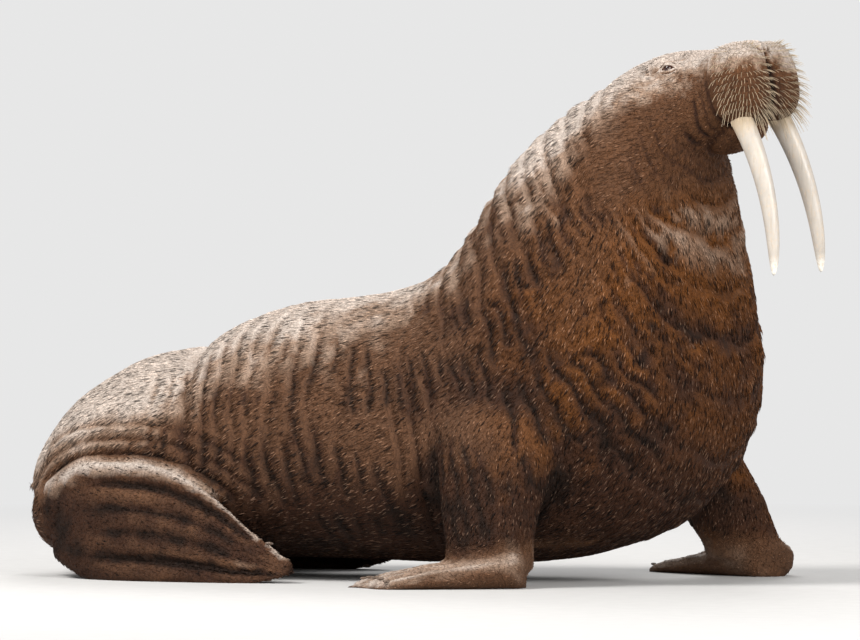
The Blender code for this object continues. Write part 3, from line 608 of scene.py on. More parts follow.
def weighted(thing, name, weights):
    """A vertex group from an array of weights."""
    group = thing.vertex_groups.new(name=name)
    for step in range(11):
        chosen = np.nonzero(np.round(weights * 10) == step)[0]
        if len(chosen):
            group.add(chosen.tolist(), step / 10, "REPLACE")


def places_of(thing):
    places = np.empty(len(thing.data.vertices) * 3, np.float32)
    thing.data.vertices.foreach_get("co", places)
    return places.reshape(-1, 3).astype(float)


def normals_of(thing):
    normals = np.empty(len(thing.data.vertices) * 3, np.float32)
    thing.data.vertex_normals.foreach_get("vector", normals)
    return normals.reshape(-1, 3).astype(float)


def place_all(thing, points):
    thing.data.vertices.foreach_set("co", points.astype(np.float32).ravel())
    thing.data.update()


def grain(points, fineness, seed):
    """Smooth noise at each point, about -1 to 1; fineness is a number or one for each axis."""
    spots = points * fineness + seed
    return np.array([noise.noise(spot) for spot in spots]) * 1.6


def flesh():
    """Trunk, head and limbs fused as one soft form, as the solids have them."""
    forms = [wrapped(trunk_points, 110, 64), wrapped(head_points, 40, 40)]
    forms.append(egg(JOWL[0], JOWL[1]))
    moved(forms[-1], on_head)
    forms.append(egg(TAIL_CENTRE, TAIL_RADII))
    for side, rows in ((1, ARM_LEFT), (-1, ARM_RIGHT)):
        forms.append(wrapped(lambda along, angle, rows=rows: arm_points(rows, along, angle), 24, 32))
        forms.append(wrapped(lambda along, angle, side=side: hand_points(side, along, angle), 40, 80))
        for _, centre, radii in HIND_FORMS:
            forms.append(egg(np.array(centre) * (1, side, 1), radii))
    thing = joined("hide", forms)
    changed(thing, "REMESH", mode="VOXEL", voxel_size=FLESH_GRAIN)
    weighted(thing, "soft", np.clip((places_of(thing)[:, 2] - HAND_TOP) / HAND_BLEND, 0, 1))
    changed(thing, "SMOOTH", factor=0.5, iterations=FLESH_ROUNDS, vertex_group="soft")
    thing.vertex_groups.clear()
    return thing


def pad_form(side):
    """A whiskered cushion of the upper lip."""

    def place(points):
        size = (np.abs(points) ** PAD_SQUARENESS).sum(1) ** (-1 / PAD_SQUARENESS)
        points = turned_flat(points * size[:, None] * PAD_RADII, -PAD_TOE_OUT * side)
        return on_head(points + PAD_CENTRE * (1, side, 1))

    return moved(egg((0, 0, 0), (1, 1, 1), 5), place)


def chin_form():
    spin = np.array(Matrix.Rotation(math.radians(CHIN_TILT), 3, "Y"))
    return moved(egg((0, 0, 0), CHIN_RADII), lambda points: on_head(points @ spin.T + CHIN_CENTRE))


def pad_closeness(points, side):
    """About how far points of the head stand off a pad's surface."""
    local = turned_flat(points - PAD_CENTRE * (1, side, 1), PAD_TOE_OUT * side) / PAD_RADII
    return ((np.abs(local) ** PAD_SQUARENESS).sum(1) ** (1 / PAD_SQUARENESS) - 1) * PAD_RADII[0]


def pads_closeness(points):
    """About how far points of the head stand off the nearer pad."""
    return np.minimum(pad_closeness(points, 1), pad_closeness(points, -1))


def chin_closeness(points):
    """About how far points of the head stand off the chin's surface."""
    spin = np.array(Matrix.Rotation(math.radians(CHIN_TILT), 3, "Y"))
    local = ((points - CHIN_CENTRE) @ spin) / CHIN_RADII
    return (np.linalg.norm(local, axis=1) - 1) * CHIN_RADII[2]


def fold_depths(points):
    """How deep the folds of the trunk's hide lie at each point."""
    ring, height, _ = trunk_places(points)
    ring = ring + FOLD_WOBBLE * grain(points, 7.0, 3.1)
    depth = np.zeros(len(points))
    for _, place, lean, deep, half_width, top, bottom in FOLDS:
        middle = place + lean * (1 - height) / 2
        window = 1 / (1 + np.exp(-FOLD_END * (top - height)))
        window = window / (1 + np.exp(-FOLD_END * (height - bottom)))
        depth += deep * window / (1 + ((ring - middle) / half_width) ** 2) ** 1.5
    return depth


def wrinkles(points):
    """Wavering, broken creases round the body, from 0 on a ridge to 1 in a crease."""
    ring, height, _ = trunk_places(points)
    waver = 0.55 * grain(points, 2.4, 31.0) + 0.15 * grain(points, 9.0, 13.0)
    waves = WRINKLE_WAVER * np.sin(WRINKLE_WAVES * height + 2.1 * ring + 1.5 * waver)
    waves = waves * ease(ring, 8.0, 10.5)
    phase = WRINKLES * ring + 0.5 * height + waver + waves
    valley = 1 - np.abs(np.sin(math.pi * phase)) ** 0.55
    broken = ease(grain(points, 6.5, 17.0), -0.45, 0.30)
    back = 1 - 0.5 * ease(height, 0.55, 0.95) * ease(ring, 9.5, 8.5) - 0.4 * ease(height, 0.6, 1.0)
    ends = ease(ring, 2.6, 4.2) * ease(height, -1.0, -0.75)
    return valley * broken * back * ends


def hip_arcs(points):
    """Folds that run round the hip, above the upper edge of the tucked-up flipper."""
    numbers = rows_at(FAN, np.linspace(0, 1, 60))
    depth = np.zeros(len(points))
    for side in (1, -1):
        near = np.nonzero((points[:, 0] < -0.45) & (points[:, 1] * side > 0.15))[0]
        edge = numbers[:, 0:3] * (1, side, 1)
        off = np.linalg.norm(points[near, None, :] - edge[None], axis=2).min(1)
        above = ease(points[near, 2], 0.20, 0.34)
        for place, deep, half_width in HIP_ARCS:
            depth[near] += deep * bell(off - place, half_width) * above
    return depth


def off_heel(points, side):
    """How far points lie ahead of a foreflipper's heel, the way its fingers point, and to its left."""
    heading = math.radians(HAND_DEG[side])
    off = points - np.array(HEELS[side])
    ahead = off[:, 0] * math.cos(heading) + off[:, 1] * math.sin(heading)
    return ahead, -off[:, 0] * math.sin(heading) + off[:, 1] * math.cos(heading)


def finger_places(points, side):
    """Where points lie on a foreflipper: from 0 at the heel to 1 at the tips, and from 0 between two
    fingers to 1 on top of one."""
    ahead, aside = off_heel(points, side)
    along = np.clip(ahead / HAND_LENGTH, 0, 1)
    spread = np.clip(-aside * side / hand_half_width(along), -1, 1)
    return along, lobes(spread, FINGERS)


def finger_grooves(points, normals, hand):
    """The hollows between the fingers, on the back of each foreflipper."""
    depth = np.zeros(len(points))
    for side in (1, -1):
        along, lobe = finger_places(points, side)
        here = hand * (points[:, 1] * side > 0) * ease(normals[:, 2], 0.0, 0.5)
        knuckle = sum(rise * bell(along - place, width) for place, width, rise in KNUCKLES)
        groove = (1 - lobe) ** 2.0 - knuckle * lobe
        depth += FINGER_GROOVE * groove * ease(along, 0.22, 0.55) * here
    return depth


def on_fan(points, side):
    """Where points lie on a hind flipper: how far off its skin, along it, and across it from -1 to 1."""
    grid = np.meshgrid(np.linspace(0, 1, 60), np.linspace(0, math.tau, 120))
    along, angle = (numbers.ravel() for numbers in grid)
    spots = fan_points(side, along, angle)
    tree = kdtree.KDTree(len(spots))
    for index, spot in enumerate(spots):
        tree.insert(spot, index)
    tree.balance()
    found = [tree.find(point) for point in points]
    off = np.array([spot[2] for spot in found])
    nearest = [spot[1] for spot in found]
    return off, along[nearest], np.cos(angle[nearest])


def limbs_at(points):
    """How much each point belongs to the head, an arm, a hand or a hind flipper, from 0 to 1, and then
    to the rims of a hind flipper, which get a painted highlight, and to the hollows between its toes,
    which are grooved and get painted shade."""
    x, y, z = points.T
    local = in_head(points)
    head = ease(local[:, 0], -0.30, -0.14) * ease(local[:, 2], -0.42, -0.30)
    arm, hand, fan, rim, web = (np.zeros(len(points)) for _ in range(5))
    for side, rows in ((1, ARM_LEFT), (-1, ARM_RIGHT)):
        heights = np.array([row[3] for row in rows])
        along = np.interp(-z, -heights, np.linspace(0, 1, len(rows)))
        centre_x, centre_y, _, fore, across = rows_at(rows, along).T
        off = np.hypot((x - centre_x) / fore, (y - centre_y) / across)
        arm = np.maximum(arm, ease(off, 1.45, 1.10) * ease(z, 0.66, 0.50))
        ahead, aside = off_heel(points, side)
        near = (ahead > -0.25) & (ahead < HAND_LENGTH + 0.1) & (np.abs(aside) < 0.28)
        hand = np.maximum(hand, near * ease(z, 0.17, 0.11))
        low = np.nonzero((x < -0.2) & (z < 0.46) & (y * side > 0.25))[0]
        off, along, spread = on_fan(points[low], side)
        fan[low] = ease(off, 0.035, 0.018)
        # A painted highlight along the edge of the second lobe
        second = SECOND_RIM_HIGHLIGHT * bell(spread - SECOND_RIM, SECOND_RIM_WIDTH) * ease(along, 0.30, 0.80)
        rim[low] = fan[low] * np.maximum(ease(spread, 0.74, 0.90), second)
        deepest = np.interp(spread, (-0.5, -0.3, 0.3, 0.6), (1.0, 0.35, 0.35, 0.9))
        deepest = deepest * ease(np.abs(spread), 0.95, 0.8)
        web[low] = fan[low] * (1 - lobes(spread, TOES)) ** 1.5 * ease(along, 0.10, 0.45) * deepest
    arm = arm * (1 - hand)
    return head, arm, hand, fan, rim, web


def cheek_creases(points):
    """Creases of the cheek that run round the lower back of each pad, one behind another."""
    local = in_head(points)
    pads = pads_closeness(local)
    pads = pads + 0.016 * grain(points, 9.0, 44.0)
    behind = ease(local[:, 0], 0.20, 0.13) * ease(local[:, 2], 0.0, -0.07)
    behind = behind * ease(chin_closeness(local), 0.0, 0.02)
    depth = np.zeros(len(points))
    for place, deep, half_width in CHEEK_CREASES:
        depth += deep * bell(pads - place, half_width) * behind
    return depth * ease(grain(points, 10.0, 52.0), -0.45, 0.35)


def pad_cleft_shade(points):
    """The painted shade between the two pads, a wedge which widens downwards to the mouth, from 0 to 1."""
    local = in_head(points)
    wide = 0.010 + 0.085 * np.clip(0.075 - local[:, 2], 0, 0.2)
    gap = bell(local[:, 1], wide) * ease(local[:, 0], 0.24, 0.28)
    return gap * ease(local[:, 2], 0.085, 0.05)


def ripples(points, limbs):
    """The hide's uneven surface: slack rolls, the thick knobs of a bull's neck, and fine wrinkles."""
    head, _, hand, fan, _, _ = limbs
    ring, _, _ = trunk_places(points)
    neck = ease(ring, 9.0, 12.0) * (1 - head)
    rolls = ROLL_DEEP * grain(points, np.array((6.0, 6.0, 4.0)), 9.0)
    rolls = rolls * (1 - 0.7 * head) * (1 - hand) * (1 - fan)
    knobs = KNOB_DEEP * np.maximum(grain(points, 17.0, 4.0) - 0.25, 0) * neck
    fine = FINE_DEEP * np.abs(grain(points, np.array((60.0, 42.0, 26.0)), 1.0))
    return (rolls - knobs + fine) * ease(points[:, 2], 0.05, 0.14)


def face_dents(points):
    """The mouth line, the seams behind the pads and the cleft between them, cheeks, nostrils and ears."""
    local = in_head(points)
    depth = np.zeros(len(points))
    chin = chin_closeness(local)
    pads = pads_closeness(local)
    depth += MOUTH_DEEP * np.exp(-((pads / 0.010) ** 2) - (chin / 0.014) ** 2)
    behind = bell(pads, 0.012) * ease(local[:, 0], 0.235, 0.17) * ease(chin, 0.0, 0.02)
    depth += SEAM_DEEP * behind + cheek_creases(points)
    cleft = bell(local[:, 1], 0.011) * ease(local[:, 0], 0.26, 0.30) * ease(local[:, 2], 0.09, 0.04)
    depth += CLEFT_DEEP * cleft
    for side in (1, -1):
        for centre, sizes, slant in ((NOSTRIL_CENTRE, NOSTRIL, 0.9), (EAR_CENTRE, EAR, 0.0)):
            off = local - centre * (1, side, 1)
            long_way = off[:, 2] * math.cos(slant) - off[:, 0] * math.sin(slant) * 0.4
            long_way = long_way + off[:, 1] * side * math.sin(slant)
            across = off[:, 1] * side * math.cos(slant) - off[:, 2] * math.sin(slant) * 0.5
            if centre is EAR_CENTRE:
                long_way, across = off[:, 2], off[:, 0]
            near = np.linalg.norm(off, axis=1) < 0.06
            pit = np.exp(-((long_way / sizes[0]) ** 4) - (across / sizes[1]) ** 2)
            depth += sizes[2] * pit * near
    return depth


def lidded(points):
    """Raises the lids round each eye and opens the slit between them."""
    local = in_head(points)
    for side in (1, -1):
        angle = math.radians(EYE_OUT_DEG)
        out = np.array((math.cos(angle), math.sin(angle) * side, 0))
        fore = np.array((math.sin(angle), -math.cos(angle) * side, 0))
        off = local - EYE_CENTRE * (1, side, 1)
        a, b, c = off @ fore, off[:, 2], off @ out
        near = np.nonzero((np.hypot(a, b) < 0.075) & (c > -0.045))[0]
        a, b, c = a[near], b[near], c[near]
        ball = EYE_RADIUS + LID_THICK
        dome = np.sqrt(np.maximum(ball**2 - a**2 - b**2, 0))
        middle = c[np.hypot(a, b).argmin()]
        mound = c + (ball - middle) * np.exp(-((a / LID_SPREAD[0]) ** 2) - (b / LID_SPREAD[1]) ** 2)
        crease = BROW_DEEP * bell(b - 0.019 + 12 * a**2, 0.0032) * ease(np.abs(a), 0.036, 0.022)
        bag = BAG_DEEP * bell(b + 0.017 - 9 * a**2, 0.0030) * ease(np.abs(a), 0.034, 0.020)
        raised = np.maximum(mound, dome) - crease - bag
        half = np.maximum(1 - (a / LID_SLIT[0]) ** 2, 0)
        edge = np.where(b > 0, half * LID_SLIT[1], half * LID_SLIT[2])
        open_slit = ease(edge - np.abs(b), -0.0006, 0.0012) * (half > 0)
        c_new = raised * (1 - open_slit) + np.minimum(raised, dome - LID_SOCKET) * open_slit
        local[near] += out * (c_new - c)[:, None]
    return on_head(local)


def refined(thing, chosen, rounds):
    """Splits the faces whose middles are chosen, then eases them smooth."""
    mesh = bmesh.new()
    mesh.from_mesh(thing.data)
    middles = np.array([face.calc_center_median() for face in mesh.faces])
    pick = chosen(middles)
    edges = {edge for face, picked in zip(mesh.faces, pick) if picked for edge in face.edges}
    bmesh.ops.subdivide_edges(mesh, edges=list(edges), cuts=1, use_grid_fill=True)
    near = chosen(np.array([vertex.co for vertex in mesh.verts]))
    soft = [vertex for vertex, picked in zip(mesh.verts, near) if picked]
    axes = {"use_axis_x": True, "use_axis_y": True, "use_axis_z": True}
    for _ in range(rounds):
        bmesh.ops.smooth_vert(mesh, verts=soft, factor=0.5, **axes)
    mesh.to_mesh(thing.data)
    mesh.free()
    return thing


def on_face(points):
    local = in_head(points)
    return (local[:, 0] > -0.10) & (local[:, 2] > -0.30) & (np.linalg.norm(local, axis=1) < 0.5)


def by_eye(points):
    local = in_head(points)
    near = np.linalg.norm(local - EYE_CENTRE, axis=1) < EYE_REACH
    return near | (np.linalg.norm(local - EYE_CENTRE * (1, -1, 1), axis=1) < EYE_REACH)


def hide():
    """All the flesh as one skin, folded and wrinkled."""
    forms = [taken_back(flesh()), pad_form(1), pad_form(-1), chin_form()]
    for side in (1, -1):
        forms.append(wrapped(lambda along, angle, side=side: fan_points(side, along, angle), 60, 80))
    thing = joined("hide", forms)
    changed(thing, "REMESH", mode="VOXEL", voxel_size=HIDE_GRAIN)
    changed(thing, "SMOOTH", factor=0.5, iterations=HIDE_ROUNDS)
    points, normals = places_of(thing), normals_of(thing)
    limbs = limbs_at(points)
    head, arm, hand, fan, _, web = limbs
    trunk = (1 - head * 0.6) * (1 - arm) * (1 - hand) * (1 - fan)
    loose = (1 - head) * (1 - 0.7 * arm) * (1 - hand) * (1 - fan)
    inward = COAT_DEPTH + fold_depths(points) * trunk + ripples(points, limbs)
    inward += WRINKLE_DEEP * wrinkles(points) * loose + hip_arcs(points) * (1 - fan)
    inward += finger_grooves(points, normals, hand) + TOE_GROOVE * web
    inward *= ease(points[:, 2], 0.0, 0.02)
    place_all(thing, points - normals * inward[:, None])
    refined(thing, on_face, 2)
    refined(thing, by_eye, 2)
    points, normals = places_of(thing), normals_of(thing)
    temples = np.linalg.norm(in_head(points) - (-0.1, 0, 0), axis=1) < 0.3
    near = np.nonzero(on_face(points) | temples)[0]
    points[near] -= normals[near] * face_dents(points[near])[:, None]
    points[near] = lidded(points[near])
    points[:, 2] = np.maximum(points[:, 2], 0.0)
    place_all(thing, points)
    faces = sum(len(face.vertices) - 2 for face in thing.data.polygons)
    weights = 1 - 0.85 * on_face(points) - 0.15 * by_eye(points)
    weighted(thing, "plain", np.clip(weights, 0, 1))
    ratio = HIDE_TRIANGLES / faces
    changed(thing, "DECIMATE", ratio=ratio, vertex_group="plain", use_collapse_triangulate=True)
    thing.vertex_groups.clear()
    return thing


def hollowness(thing, points, normals, rounds=3):
    """How hollow the surface is at each point: above 0 in creases, below on ridges."""
    count = len(points)
    edges = np.empty(len(thing.data.edges) * 2, np.int32)
    thing.data.edges.foreach_get("vertices", edges)
    one, other = edges.reshape(-1, 2).T
    way = points[other] - points[one]
    way /= np.maximum(np.linalg.norm(way, axis=1), 1e-9)[:, None]
    total, links = np.zeros(count), np.zeros(count)
    for start, sign, at in ((one, 1, one), (other, -1, other)):
        np.add.at(total, at, (normals[start] * way).sum(1) * sign)
        np.add.at(links, at, 1)
    links = np.maximum(links, 1)
    hollow = total / links
    for _ in range(rounds):
        spread = np.zeros(count)
        np.add.at(spread, one, hollow[other])
        np.add.at(spread, other, hollow[one])
        hollow = hollow * 0.4 + spread / links * 0.6
    return hollow


def mixed(one, other, share):
    return one + (other - one) * share[:, None]


def hide_colours(points, normals, hollow, limbs):
    """The colour of hide and hair at each point: pale above, partly as painted light from above, brown on
    the flanks, and darker low and in creases, as painted shade.

    Each part has its tone, from 0 for black to 1 for palest; the tone then picks the colour.
    """
    head, arm, hand, fan, rim, toe_hollow_shade = limbs
    ring, height, _ = trunk_places(points)
    up = normals[:, 2]
    blotch = grain(points, 3.2, 20.0) * 0.10 + grain(points, 11.0, 7.0) * 0.08
    blotch = blotch + grain(points, 34.0, 2.0) * 0.06
    # Height and how far a point faces up: facing up makes it paler, as painted light from above
    above = height * 0.62 + up * 0.42 + blotch * 1.3

    # The trunk turns from brown to pale at heights that differ between rump, flank, shoulder and nape
    rump = ease(ring, 5.2, 3.2)
    shoulder = ease(ring, 7.5, 9.5)
    nape = ease(ring, 10.5, 13.0)
    low = 0.34 - 0.56 * rump + 0.24 * shoulder - 0.34 * nape
    high = 1.00 - 0.26 * rump + 0.16 * shoulder - 0.24 * nape
    tone = 0.34 + 0.66 * ease(above, low, high)
    ginger = ease(ring, 9.6, 11.4) * ease(height, 0.7, 0.2)
    ginger = ginger * (1 - hand) * (1 - fan) * (1 - 0.7 * head)
    ginger = ginger * (1 - 0.5 * nape * ease(height, -0.3, 0.0))
    ginger = np.maximum(ginger, 0.8 * arm * ease(points[:, 2], 0.48, 0.34))

    # It is darker underneath, as painted shade, and on the sides of neck and loin; the throat and the
    # front of the chest are lighter, as painted light
    tone -= 0.26 * ease(above, 0.0, -0.60) + 0.06 * ginger
    tone += 0.07 * ease(ring, 11.5, 13.0) * ease(height, 0.2, -0.3)
    side = ease(height, 0.75, 0.50) * ease(height, -0.30, 0.0)
    tone -= 0.08 * ease(ring, 8.5, 10.0) * ease(ring, 15.0, 13.5) * side
    tone += 0.05 * nape - 0.07 * ease(ring, 4.5, 6.0) * ease(ring, 10.5, 9.0)
    tone += 0.34 * ease(height, -0.3, -0.8) * ease(ring, 14.0, 15.2)

    # The face is pale above, partly as painted light from above, and darker low down, on the pads, between
    # them and in the creases of the cheeks, as painted shade
    local = in_head(points)
    face = 0.36 + 0.64 * ease(local[:, 2] + 0.05 * up + blotch * 0.45, -0.035, 0.125)
    face -= 0.10 * ease(local[:, 2], -0.08, -0.20)
    pads = pads_closeness(local)
    face -= 0.10 * ease(pads, 0.02, 0.0) + CARVED_SHADE * cheek_creases(points) + 0.34 * pad_cleft_shade(points)
    tone = tone * (1 - head) + face * head

    # Arms darken downwards and lighten where they face up, as painted shade and light, and the far arm is
    # a little lighter against the shade it lies in; palms are paler where they face up, as painted light;
    # hind flippers are dark, lighter where they face up, with painted shade between the toes and painted
    # highlights on their rims
    limb = -0.01 + 0.33 * ease(points[:, 2], 0.26, 0.62) + 0.08 * (points[:, 1] > 0)
    limb = limb + blotch * 0.7 + 0.10 * up
    tone = tone * (1 - arm) + limb * arm
    palm = 0.34 + 0.42 * ease(up, 0.1, 0.95) * ease(points[:, 2], 0.16, 0.10) + blotch * 1.2
    tone = tone * (1 - hand) + palm * hand
    web = 0.06 + 0.12 * ease(up, 0.0, 0.8) + blotch * 1.1 - 0.22 * toe_hollow_shade
    # Painted highlight on a hind flipper's rims
    pale = 0.84 - 0.16 * ease(points[:, 0], -0.95, -0.55) + blotch
    tone = tone * (1 - fan) + (web * (1 - rim) + pale * rim) * fan

    # Creases, hip folds and hollows are darkened as painted shade, and ridges lightened as painted light
    strength = 0.42 + 0.16 * ease(ring, 8.5, 7.5)
    creases = strength * wrinkles(points) * (1 - 0.5 * nape * ease(height, 0.3, 0.8))
    creases = creases + CARVED_SHADE * hip_arcs(points)
    tone -= creases * (1 - head) * (1 - hand) * (1 - fan)
    tone = np.clip(tone - HOLLOW_SHADE * np.clip(hollow * 3.2, -0.12, 0.42), 0, 1)
    colour = mixed(np.array(INK), np.array(DARK), ease(tone, 0.0, 0.10))
    brown = mixed(np.tile(BROWN, (len(points), 1)), np.array(GINGER), ginger)
    colour = mixed(colour, brown, ease(tone, 0.10, 0.38))
    colour = mixed(colour, np.array(TAN), ease(tone, 0.40, 0.68))
    return mixed(colour, np.array(PALE), ease(tone, 0.66, 0.98))


def coloured(thing, colours, name="hide"):
    """Stores a colour for each vertex."""
    layer = thing.data.attributes.new(name, "FLOAT_COLOR", "POINT")
    full = np.ones((len(colours), 4), np.float32)
    full[:, :3] = colours
    layer.data.foreach_set("color", full.ravel())


def lie_of_hair(points, limbs):
    """The way hair lies at each point: back and down from the nose, and down the limbs."""
    head, arm, hand, fan, _, _ = limbs
    ring, height, _ = trunk_places(points)
    along = np.clip(ring / (len(TRUNK) - 1), 0, 1)
    ahead = rows_at(TRUNK, np.clip(along + 0.02, 0, 1))
    behind = rows_at(TRUNK, np.clip(along - 0.02, 0, 1))
    share = ((1 - height) / 2)[:, None]
    flow = (behind - ahead)[:, 0:2] * (1 - share) + (behind - ahead)[:, 2:4] * share
    flow = stacked(flow[:, 0], np.zeros(len(points)), flow[:, 1])
    flow /= np.maximum(np.linalg.norm(flow, axis=1), 1e-6)[:, None]
    flow[:, 2] -= 0.55 * ease(np.abs(height), 1.0, 0.4)
    back = -HEAD_AXES[:, 0] + np.array((0, 0, -0.25))
    flow = mixed(flow, back, head)
    flow = mixed(flow, np.array((-0.25, 0, -1.0)), arm)
    for side in (1, -1):
        heading = math.radians(HAND_DEG[side])
        here = hand * (points[:, 1] * side > 0)
        flow = mixed(flow, np.array((math.cos(heading), math.sin(heading), 0)), here)
    return mixed(flow, np.array((1.0, 0, -0.25)), fan)


def triangles_of(thing):
    thing.data.calc_loop_triangles()
    corners = np.empty(len(thing.data.loop_triangles) * 3, np.int32)
    thing.data.loop_triangles.foreach_get("vertices", corners)
    return corners.reshape(-1, 3)


def mesh_of(name, points, faces, colours, flat_places):
    """Many small closed shapes as one object, with their colours and their places on the bake's map."""
    data = bpy.data.meshes.new(name)
    data.vertices.add(len(points))
    data.vertices.foreach_set("co", points.astype(np.float32).ravel())
    data.loops.add(faces.size)
    data.loops.foreach_set("vertex_index", faces.astype(np.int32).ravel())
    data.polygons.add(len(faces))
    data.polygons.foreach_set("loop_start", np.arange(0, faces.size, 3, dtype=np.int32))
    data.update(calc_edges=True)
    data.shade_smooth()
    thing = bpy.data.objects.new(name, data)
    bpy.context.scene.collection.objects.link(thing)
    coloured(thing, colours)
    if flat_places is not None:
        layer = data.uv_layers.new(name="OFBake")
        layer.uv.foreach_set("vector", flat_places[faces.ravel()].astype(np.float32).ravel())
    return thing


def tuft_spots(skin, points, draw):
    """Where the tufts stand: the corners of the triangle under each, each corner's share of the spot, and
    how much it belongs to the face."""
    corners = triangles_of(skin)
    a, b, c = points[corners[:, 0]], points[corners[:, 1]], points[corners[:, 2]]
    areas = np.linalg.norm(np.cross(b - a, c - a), axis=1) / 2
    middle = (a + b + c) / 3
    local = in_head(middle)
    face = ease(local[:, 0], -0.05, 0.10) * ease(local[:, 2], -0.34, -0.24)
    pads = pads_closeness(local)
    eyes = np.minimum(*(np.linalg.norm(local - EYE_CENTRE * (1, side, 1), axis=1) for side in (1, -1)))
    lids = ease(eyes, 0.05, 0.035)
    thick = (1 - 0.85 * lids) * (1 - ease(middle[:, 2], 0.02, 0.004))
    thick = thick * (1 - 0.8 * ease(pads, 0.02, 0.0) * face)
    thick *= 1 + 1.2 * face
    wanted = np.cumsum(areas * thick / HAIR_SPACING**2)
    picks = np.searchsorted(wanted, np.arange(0.5, wanted[-1], 1.0))
    count = len(picks)
    first, second = draw.random(count), draw.random(count)
    over = first + second > 1
    first[over], second[over] = 1 - first[over], 1 - second[over]
    return corners[picks], np.stack([1 - first - second, first, second], 1)[:, :, None], face[picks]


def tuft_shapes(root, flow, normal, sizes):
    """The corners of each tuft: a ring of three at the root, a ring at its middle, and the tip."""
    length, width, lift = sizes
    across = np.cross(normal, flow)
    rings = []
    for along, wide, rise in ((0.0, 0.55, -HAIR_SUNK), (0.5, 1.0, 0.0)):
        centre = root + flow * (length * along)[:, None] + normal * (rise + lift * along * 0.9)[:, None]
        reach = across * (width * wide / 2)[:, None]
        rings += [centre - reach, centre + normal * HAIR_THICK, centre + reach]
    tip = root + flow * length[:, None] + normal * lift[:, None]
    shape = np.stack([*rings, tip], 1)
    shape[:, :, 2] = np.maximum(shape[:, :, 2], -SHIFT[2])
    return shape


def tuft_faces():
    """The triangles of one tuft, by the numbers of its corners."""
    faces = [(0, 1, 2), (3, 6, 4), (4, 6, 5), (5, 6, 3)]
    for one, other in ((0, 1), (1, 2), (2, 0)):
        faces += [(one, one + 3, other), (other, one + 3, other + 3)]
    return np.array(faces)


def unwrapped(root, limbs, ring, height, aside):
    """Where roots lie on the bake's map: along the body and round it, limbs on strips of their own."""
    head, arm, hand, fan, _, _ = limbs
    turn = np.arctan2(aside, (height + 0.001) * 0.5) / math.tau + 0.5
    limb = np.where(hand > 0.5, 3, np.where(arm > 0.5, 2, np.where(fan > 0.5, 1, 0)))
    limb = np.where(head > 0.5, 4, limb)
    near = in_head(root)
    around = np.arctan2(near[:, 1], near[:, 2]) / math.tau + 0.5
    u = ring / (len(TRUNK) - 1)
    v = 0.02 + 0.50 * turn
    half = (root[:, 1] > 0) * 0.5
    for kind, low, high, along, up in (
        (1, 0.54, 0.64, (root[:, 0] + 1.3) / 1.1, root[:, 2] / 0.5),
        (2, 0.65, 0.75, root[:, 0] / 1.3, root[:, 2] / 0.8),
        (3, 0.76, 0.82, (root[:, 0] + 0.2) / 1.4, (root[:, 1] + 0.9) / 1.8),
        (4, 0.83, 0.98, (near[:, 0] + 0.35) / 0.75, around),
    ):
        chosen = limb == kind
        along = np.clip(along[chosen], 0, 1)
        u[chosen] = along * 0.96 if kind == 4 else along * 0.48 + half[chosen]
        v[chosen] = low + (high - low) * np.clip(up[chosen], 0, 1)
    return np.stack([0.01 + 0.98 * u, v], 1)


def coat(skin, points, normals, colours, limbs):
    """Short hair over the hide: thin flat tufts that overlap and lie along the body."""
    draw = np.random.default_rng(HAIR_SEED)
    corners, share, face = tuft_spots(skin, points, draw)
    count = len(corners)

    def at_roots(values):
        values = values if values.ndim > 1 else values[:, None]
        return (values[corners] * share).sum(1)

    root, normal, colour = at_roots(points), at_roots(normals), at_roots(colours)
    normal /= np.linalg.norm(normal, axis=1)[:, None]
    here = tuple(at_roots(weight)[:, 0] for weight in limbs)
    flow = lie_of_hair(root, here) + draw.normal(0, HAIR_SWAY / 2, (count, 3))
    flow -= normal * (flow * normal).sum(1)[:, None]
    flow /= np.maximum(np.linalg.norm(flow, axis=1), 1e-6)[:, None]
    head, arm, hand, fan, _, _ = here
    small = np.clip(1 - 0.62 * face - 0.25 * arm - 0.55 * hand - 0.45 * fan, 0.3, 1)
    length = HAIR_LENGTH * small * draw.uniform(0.7, 1.25, count)
    width = HAIR_WIDTH * (0.45 + 0.55 * small) * draw.uniform(0.7, 1.2, count)
    lift = HAIR_LIFT * (0.4 + 0.6 * small) * draw.uniform(0.5, 1.3, count)

    # Most tufts have about the hide's own colour; some are darker, a few bold and nearly black, some pale
    stroke = draw.random(count)
    tint = np.where(stroke < DARK_SHARE, draw.uniform(0.42, 0.66, count), draw.uniform(0.84, 1.24, count))
    bold = (stroke < BOLD_SHARE * (1 + 0.8 * ease(root[:, 0], 0.3, 0.6))) & (head + hand < 0.5)
    tint = np.where(bold, draw.uniform(0.16, 0.34, count), tint)
    light = stroke > 1 - LIGHT_SHARE * (1 - 0.6 * head) * (1 - fan)
    tint = np.where(light, draw.uniform(0.85, 1.35, count), tint)
    colour = mixed(colour, colour * 1.25 + np.array(TAN) * 0.24, light.astype(float))
    length = np.where(bold, length * 1.35, length)
    width = np.where(bold, width * 1.55, width)

    shape = tuft_shapes(root, flow, normal, (length, width, lift))
    faces = tuft_faces()
    tinted = colour[:, None, :] * (tint[:, None] * np.array(TUFT_SHADES))[:, :, None]
    ring, height, aside = trunk_places(root)
    flat = unwrapped(root, here, ring, height, aside)
    patch = np.array([(-0.5, 0), (0, 0), (0.5, 0), (-0.5, 0.5), (0, 0.5), (0.5, 0.5), (0, 1)])
    spread = flat[:, None, :] + patch[None] * PATCH

    # Pieces follow one another along the body
    pieces = []
    order = np.argsort(ring, kind="stable")
    for number, start in enumerate(range(0, count, HAIRS_A_PIECE)):
        some = order[start : start + HAIRS_A_PIECE]
        corner = faces[None] + (np.arange(len(some)) * shape.shape[1])[:, None, None]
        numbers = (shape[some], corner, tinted[some])
        spots, triangles, shades = (values.reshape(-1, 3) for values in numbers)
        flat_places = spread[some].reshape(-1, 2)
        pieces.append(mesh_of("coat_" + str(number + 1), spots, triangles, shades, flat_places))
    return pieces


